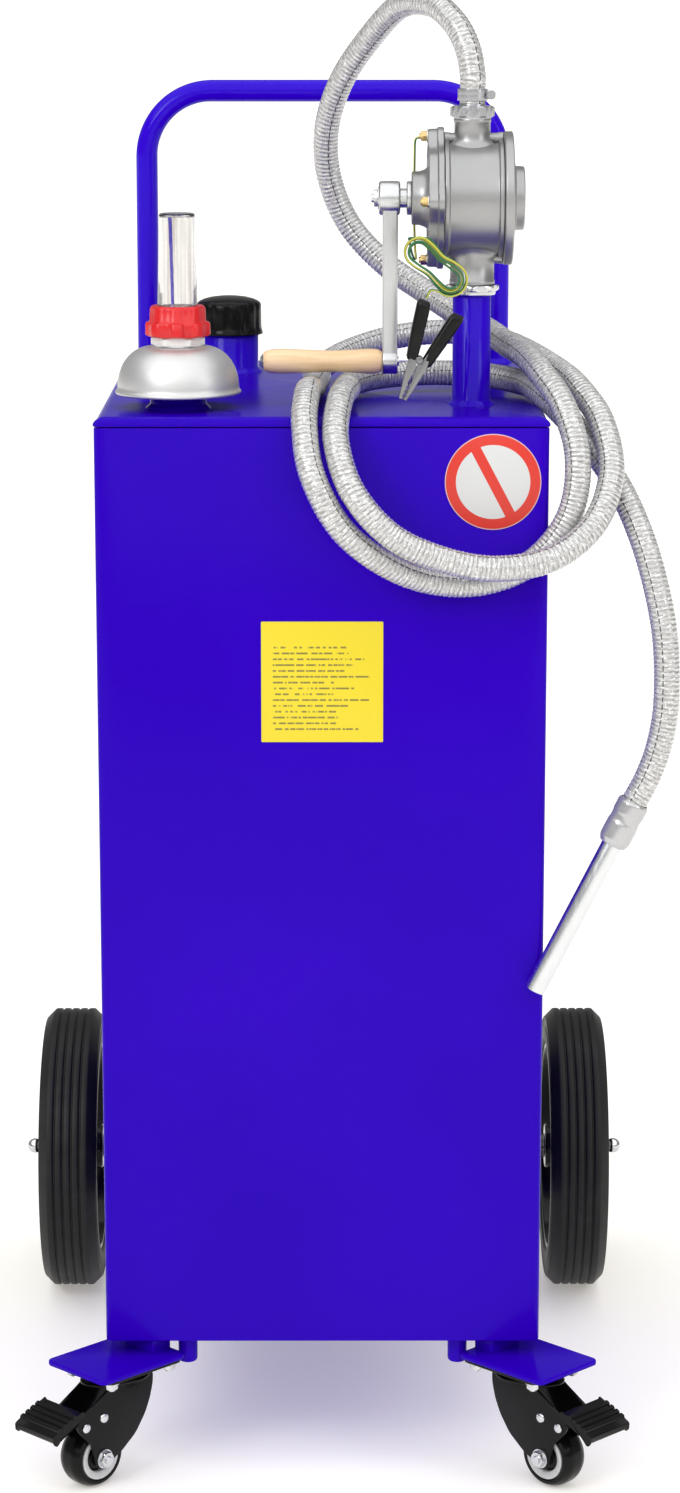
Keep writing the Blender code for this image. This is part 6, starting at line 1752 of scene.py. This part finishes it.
@dataclass
class Filler:
    """The black filler cap, scalloped under its shoulder, and its gasket."""

    radius: float = 0.028
    low: float = 0.889
    high: float = 0.921
    bore: float = 0.0253
    ceiling: float = 0.9078
    flutes: int = 12
    flute: float = 0.0011
    dome: Section = ((0.0, 0.0, 0), (0.3, 0.0002, 0), (0.55, 0.0011, 0), (0.76, 0.0026, 0),
                     (0.9, 0.0044, 0.2), (0.96, 0.006, 0.6), (0.985, 0.008, 1), (0.99, 0.015, 1))
    skirt: Section = ((0.995, 0.006, 0.8), (1.01, 0.003, 0.3), (1.04, 0.0012, 0), (1.03, 0.0, 0))
    gasket: Section = ((0.025, 0.9073), (0.025, 0.9053), (0.0208, 0.9053), (0.0208, 0.9073))

    def radii(self, rows: np.ndarray, angles: np.ndarray) -> np.ndarray:
        """Each row's radius, less rounded scallops as deep as its third number says."""
        hollow = np.clip(np.cos(self.flutes * angles) * 1.3 - 0.1, 0, 1)
        return rows[:, :1] - rows[:, 2:3] * self.flute * hollow

    def build(self) -> None:
        """The domed cap with its skirt and hollow, and the ring in it."""
        here = Place.at(*FILLER_SPOT, 0.0)
        rows = [(share * self.radius, self.high - down, depth) for share, down, depth in self.dome]
        rows += [(share * self.radius, self.low + up, depth) for share, up, depth in self.skirt]
        rows += [(self.bore, self.low, 0), (self.bore, self.ceiling, 0), (0.0, self.ceiling, 0)]
        cap = around(rows, self.radii, here, 144)
        build_piece("filler_cap_dome", [cap], BLACK, "cap", ("filler_cap",), sharp=50)
        ring = turned(self.gasket, 0.0004, here, 72, 3, looped=True)
        build_piece("filler_gasket", [ring], RUBBER, "cap", ("cap_gasket",))


# Pump and crank
@dataclass
class Pump:
    """The hand pump's casting with its necks, lobed cover, rear flange, nuts and bolts."""

    y: float = SHAFT_Y
    z: float = SHAFT_Z
    left: float = 0.0952
    right: float = 0.141
    barrel: float = 0.043
    bore: float = 0.0346
    outlet_x: float = 0.117
    inlet_x: float = INLET_X
    boss_circle: float = 0.0465
    bolt_circle: float = 0.0478
    foot: Section = ((0.0052, -0.0014), (0.0034, 0.0002), (0.002, 0.0012), (0.0009, 0.0026),
                     (0.0, 0.0048))
    parting: Section = ((-0.001, -0.0004), (0.0004, -0.0003), (0.0004, 0.0003), (-0.001, 0.0004))
    plate: Section = (
        (0.008, 0.0949, 0), (0.0448, 0.0949, 1), (0.0456, 0.0943, 1), (0.0456, 0.0905, 1),
        (0.0448, 0.0897, 1), (0.044, 0.0893, 1.04), (0.0437, 0.0832, 1.04), (0.043, 0.0825, 1.03),
        (0.0405, 0.0825, 1.0), (0.0385, 0.085, 0.4), (0.037, 0.0862, 0), (0.03, 0.0858, 0),
        (0.025, 0.0835, 0), (0.0222, 0.08, 0), (0.0208, 0.076, 0), (0.0206, 0.0708, 0),
        (0.0198, 0.07, 0), (0.0142, 0.07, 0), (0.0138, 0.0712, 0), (0.008, 0.0712, 0),
    )
    flange: Section = (
        (0.0, 0.1413), (0.0507, 0.1413), (0.0515, 0.1421), (0.0515, 0.1478), (0.0505, 0.1485),
        (0.033, 0.1485), (0.03, 0.15), (0.025, 0.1506), (0.0245, 0.157), (0.0236, 0.1577),
        (0.01, 0.1577), (0.009, 0.1569), (0.0, 0.1569),
    )
    gland: Section = ((0.0079, 0.0661), (0.0122, 0.0661), (0.0131, 0.0668), (0.0131, 0.0697),
                      (0.0079, 0.0697))
    collar: Section = ((0.0156, 0.943), (0.018, 0.943), (0.0186, 0.9445), (0.0186, 0.947),
                       (0.0156, 0.947))
    seal: Section = ((0.0146, 1.0793), (0.0146, 1.0801), (0.01, 1.0801), (0.01, 1.0793))

    def axis(self, turn: float = 0.0, reach: float = 0.0) -> Place:
        """The place on the shaft's axis, or at an angle and distance round it."""
        return Place.at(0.0, self.y + reach * math.cos(turn), self.z + reach * math.sin(turn), Facing.RIGHT)

    def neck(self, x: float, radius: float, bore: float, end: float, way: int) -> Shell:
        """A neck that grows from the barrel: its foot follows the barrel's curve and flares into it.

        Args:
            x: the neck's middle.
            radius: its radius.
            bore: its bore's radius.
            end: the height where it ends.
            way: 1 for upwards and -1 for downwards.

        Returns:
            The shell; a foot point at y lies at the height sqrt(R^2 - y^2) of the barrel.
        """
        angles = circle(72)
        level = np.ones(len(angles))
        lip = [(radius, end - way * 0.004), (radius + 0.0005, end - way * 0.0034),
               (radius + 0.0005, end - way * 0.0006), (radius, end), (bore, end),
               (bore, self.z + way * 0.0368)]
        rows = []
        for flare, lift in self.foot:
            rise = np.sqrt(self.barrel ** 2 - ((radius + flare) * np.sin(angles)) ** 2) + lift
            rows.append((radius + flare, self.z + way * rise))
        rows += [(reach, height * level) for reach, height in lip]
        rings = [np.stack([x + reach * np.cos(angles), self.y + reach * np.sin(angles), heights], axis=-1)
                 for reach, heights in rows]
        return Shell(np.stack(rings), looped=True)

    def casting(self) -> None:
        """The barrel with its end rims, both necks, the parting line and the bolt bosses."""
        r, left, right = self.barrel, self.left, self.right
        barrel = [(self.bore, left), (r + 0.0024, left), (r + 0.0024, left + 0.0032), (r, left + 0.004),
                  (r, right - 0.004), (r + 0.0028, right - 0.0032), (r + 0.0028, right),
                  (self.bore, right)]
        shells = [turned(barrel, 0.0007, self.axis(), 144, 3, looped=True),
                  self.neck(self.outlet_x, 0.014, 0.0103, 1.0796, 1),
                  self.neck(self.inlet_x, 0.0172, 0.0153, 0.951, -1)]
        boss = [(0.0, left), (0.0046, left), (0.0038, left + 0.006), (0.0038, right - 0.006),
                (0.0046, right), (0.0, right)]
        for quarter in (0, 1, 3):
            shells.append(turned(boss, 0.0006, self.axis(quarter * QUARTER, self.boss_circle), 28, 3))
        seam = ((left + 0.006, -1), (left + 0.012, 0.6), (left + 0.02, -0.4), (left + 0.03, 0.8),
                (right - 0.006, -0.6))
        for way in (-1, 1):
            ring = [[(x, self.y + way * (r + out), self.z + 0.0004 * wave + up) for out, up in self.parting]
                    for x, wave in seam]
            shells.append(Shell(np.array(ring)))
        build_piece("pump_casting", shells, CAST, replaces=("pump_body",), sharp=40)

    @staticmethod
    def lobed(rows: np.ndarray, angles: np.ndarray) -> np.ndarray:
        """Each row's radius plus its share of the cover's lobes, (0.5 + 0.5 cos 4a)^4, and their waists."""
        lobes = 0.008 * (0.5 + 0.5 * np.cos(4 * angles)) ** 4 + 0.0012 * np.cos(8 * angles)
        return rows[:, :1] + rows[:, 2:3] * lobes

    def cover(self) -> None:
        """The lobed cover plate on the crank's side with its gland boss, and its four bolts."""
        plate = around(self.plate, self.lobed, self.axis(), 192, True)
        build_piece("cover_plate", [plate], CAST, replaces=("pump_cover",), sharp=40)
        bolts, washers = [], []
        for number in range(4):
            spot = self.axis(number * QUARTER, self.bolt_circle)
            bolts += [many_sided(6, 0.0088, 0.0772, 0.0818, spot, 0.0007),
                      disc(0.0024, 0.0758, 0.078, spot, 20, 0.0005)]
            washers.append(disc(0.005, 0.0818, 0.0825, spot, 28))
        build_piece("cover_bolts", bolts, BRASS, sharp=30)
        build_piece("cover_washers", washers, ZINC, sharp=30)

    def fittings(self) -> None:
        """The flange, the gland nut, the pale locknut and the white ring under the hose's hexagon."""
        flange = turned(self.flange, 0.0007, self.axis(), 128, 3)
        build_piece("flange_disc", [flange], CAST, replaces=("pump_flange",), sharp=40)
        nut = turned(self.gland, 0.0004, self.axis(), 64, 3, looped=True)
        build_piece("gland_ring", [nut], DRAWN, replaces=("gland_nut",))
        here = Place.at(self.inlet_x, self.y, 0.0)
        locknut = [turned(self.collar, 0.0005, here, 64, 3, looped=True),
                   many_sided(8, 0.0424, 0.9462, 0.9507, here, 0.0009)]
        build_piece("pale_locknut", locknut, ZINC, replaces=("pump_locknut",), sharp=30)
        ring = turned(self.seal, 0.0002, Place.at(self.outlet_x, self.y, 0.0), 48, 2, looped=True)
        build_piece("outlet_seal", [ring], WHITE)
        hidden = {"pump_rotor": DRAWN, "vane_a": BLACK, "vane_b": BLACK, "suction_tube": ZINC}
        for node, finish in hidden.items():
            dress_node(node, finish)

    def build(self) -> None:
        """The casting, its cover and the rest."""
        self.casting()
        self.cover()
        self.fittings()


@dataclass
class Crank:
    """The crank arm, its bolt, and the wooden grip on its spindle."""

    y: float = SHAFT_Y
    z: float = SHAFT_Z
    length: float = 0.127
    arm_left: float = 0.0475
    arm_right: float = 0.0593
    hub: Section = ((0.0, 0.0444), (0.0118, 0.0444), (0.0132, 0.0456), (0.0134, 0.054),
                    (0.0132, 0.06), (0.012, 0.0612), (0.0, 0.0612))
    grip_left: float = -0.0458
    grip_right: float = 0.0472
    grip_radius: float = 0.0098
    grip: Section = ((0.72, 0.0), (0.9, 0.04), (1.0, 0.14), (0.93, 0.36), (0.86, 0.56),
                     (0.92, 0.74), (1.0, 0.88), (0.96, 0.96), (0.8, 1.0))

    def lever(self, axis: Place, low: Place) -> None:
        """The arm's plate from hub to tip, both in one with their bosses, and the clamping nut.

        Args:
            axis: the place on the shaft's axis.
            low: the place on the grip's axis.
        """
        left, right = self.arm_left, self.arm_right
        arm = capsule((0.0, 0.0), 0.0098, (0.0, -self.length), 0.0072, 20)
        tip = [(0.0, left), (0.0095, left), (0.01, left + 0.001), (0.01, right - 0.001),
               (0.0095, right), (0.0, right)]
        shells = [extruded(arm, left, right, axis, 0.0016, 4), turned(self.hub, 0.0012, axis, 72),
                  turned(tip, 0.0008, low, 56, 3)]
        build_piece("crank_lever", shells, DRAWN, "crank", ("crank_arm",), sharp=40)
        bolt = [many_sided(6, 0.015, 0.0407, 0.0438, axis, 0.001), disc(0.0085, 0.0438, 0.0444, axis, 40),
                disc(0.0034, 0.0386, 0.041, axis, 24, 0.0006)]
        build_piece("crank_nut", bolt, ZINC, "crank", ("crank_bolt",), sharp=30)

    def build(self) -> None:
        """The lever, then the grip, whose side is the smooth curve through its radii, and its ferrule."""
        low = Place.at(0.0, self.y, self.z - self.length, Facing.RIGHT)
        self.lever(Place.at(0.0, self.y, self.z, Facing.RIGHT), low)
        left, right = self.grip_left, self.grip_right
        knots = [(self.grip_radius * share, left + (right - left) * along, 0.0) for share, along in self.grip]
        side = [(reach, x) for reach, x, _ in smooth_curve(knots, 8)]
        outside = [(0.0, left), (0.0042, left), *side, (0.005, right), (0.0, right)]
        build_piece("wooden_grip", [revolved(outside, low, 72)], WOOD, "grip", ("crank_grip",), sharp=50)
        ferrule = [(0.0, right - 0.004), (0.006, right - 0.004), (0.0066, right), (0.006, right + 0.0002),
                   (0.0, right + 0.0002)]
        build_piece("grip_ferrule", [turned(ferrule, 0.0003, low, 40)], DRAWN, "crank", sharp=40)
        dress_node("grip_spindle", ZINC)


@dataclass
class Plates:
    """The blank yellow notice and the blank round sign on the tank's front."""

    notice_centre: tuple[float, float] = (0.0003, 0.6516)
    notice_size: tuple[float, float] = (0.0945, 0.0949)
    sign_centre: tuple[float, float] = (0.1314, 0.8075)
    sign_radius: float = 0.037
    thickness: float = 0.0006
    sunk: float = 0.0001

    def plate(self, name: str, outline: np.ndarray, centre: tuple[float, float], finish: Finish) -> None:
        """A thin extrusion that lies on the tank's front, round a middle given as (x, z)."""
        here = Place.at(centre[0], FRONT_Y, centre[1], Facing.FRONT)
        build_piece(name, [extruded(outline, -self.sunk, self.thickness, here, 0.0001, 2)], finish)

    def build(self) -> None:
        """The notice, then the sign."""
        self.plate("blank_notice", rounded_rectangle(*self.notice_size, 0.0008, 3), self.notice_centre,
                   Notice("yellow_notice", "white_plastic", self.notice_centre, self.notice_size))
        angles = circle(96)
        disc_outline = self.sign_radius * np.stack([np.cos(angles), np.sin(angles)], axis=-1)
        self.plate("blank_sign", disc_outline, self.sign_centre,
                   Roundel("red_ring_sign", "white_plastic", self.sign_centre, self.sign_radius))


# Studio
@dataclass
class Studio:
    """A pale floor, soft light from large lamps and the sky, and the camera of the photograph."""

    eye: Triple = (0.0101, -3.0822788, 1.18534)
    pitch_down: float = 0.20415
    yaw: float = -0.00142
    lens: float = 89.456
    sensor: float = 36.0
    sight: float = 3000.0
    floor_half: float = 900.0
    floor_base: Triple = (0.83, 0.82, 0.785)
    floor_pale: Triple = (0.85, 0.84, 0.805)
    floor_light: Triple = (1.0, 0.95, 0.9)
    floor_glow: float = 0.31
    sky: Triple = (1.0, 1.0, 1.0)
    sky_strength: float = 0.34
    sun_strength: float = 2.7
    sun_tilt: float = math.radians(24)
    sun_spread: float = math.radians(110)
    lamps: tuple = (("key", (-1.7, -2.4, 2.3), 1.0, 22.0), ("fill", (2.2, -1.6, 1.6), 0.8, 7.0))
    lamp_target: Triple = (0.0, 0.0, 0.8)

    def build(self) -> None:
        """Make the camera first, then the floor, the sky and the lamps."""
        scene = bpy.context.scene
        lens = bpy.data.cameras.new("view")
        lens.lens, lens.sensor_width, lens.clip_end = self.lens, self.sensor, self.sight
        camera = linked("view", lens)
        camera.location = self.eye
        camera.rotation_euler = (QUARTER - self.pitch_down, 0, self.yaw)
        scene.camera = camera
        scene.view_settings.view_transform = "Standard"
        self.floor()
        world = bpy.data.worlds.new("sky")
        world.use_nodes = True
        background = world.node_tree.nodes["Background"]
        background.inputs["Color"].default_value = (*self.sky, 1)
        background.inputs["Strength"].default_value = self.sky_strength
        scene.world = world
        sun = bpy.data.lights.new("sky_panel", "SUN")
        sun.energy, sun.angle = self.sun_strength, self.sun_spread
        linked("sky_panel", sun).rotation_euler = (self.sun_tilt, 0, 0)
        for lamp in self.lamps:
            self.lamp(*lamp)

    def floor(self) -> None:
        """A wide pale floor with a faint mottle."""
        half = self.floor_half
        corners = [(-half, -half, 0), (half, -half, 0), (half, half, 0), (-half, half, 0)]
        mesh = bpy.data.meshes.new("floor")
        mesh.from_pydata(corners, [], [(0, 1, 2, 3)])
        recipe = Recipe("pale_floor")
        recipe.set(Base_Color=recipe.mix(recipe.noise(3.0), self.floor_base, self.floor_pale), Roughness=0.9,
                   Specular_IOR_Level=0.1, Emission_Color=self.floor_light,
                   Emission_Strength=self.floor_glow)
        mesh.materials.append(recipe.material)
        floor = linked("floor", mesh)

    def lamp(self, name: str, place: Triple, size: float, power: float) -> None:
        """One square soft lamp that faces the caddy.

        Args:
            name: the lamp's name.
            place: where it hangs.
            size: the length of its side.
            power: its power in watts.
        """
        light = bpy.data.lights.new(name, "AREA")
        light.size, light.energy = size, power
        lamp = linked(name, light)
        lamp.location = place
        way = np.array(self.lamp_target) - np.array(place)
        tilt = math.atan2(math.hypot(way[0], way[1]), -way[2])
        lamp.rotation_euler = (tilt, 0, math.atan2(-way[0], way[1]))


def main() -> None:
    """Build the studio, the cords and then each sub-assembly, and say so."""
    logging.basicConfig(level=logging.INFO, format="%(message)s")
    assemblies = [("studio", Studio()), ("outlet hose", OutletHose()), ("earth wire", EarthWire()),
                  ("tank", Tank()), ("pipework", Pipework()), ("running gear", RunningGear()),
                  ("left caster", Caster("left", -1, 225)), ("right caster", Caster("right", 1, -45)),
                  ("gauge", Gauge()), ("filler", Filler()), ("pump", Pump()), ("crank", Crank()),
                  ("plates", Plates())]
    for name, assembly in assemblies:
        assembly.build()
        LOG.info("built %s", name)


if __name__ == "__main__":
    main()
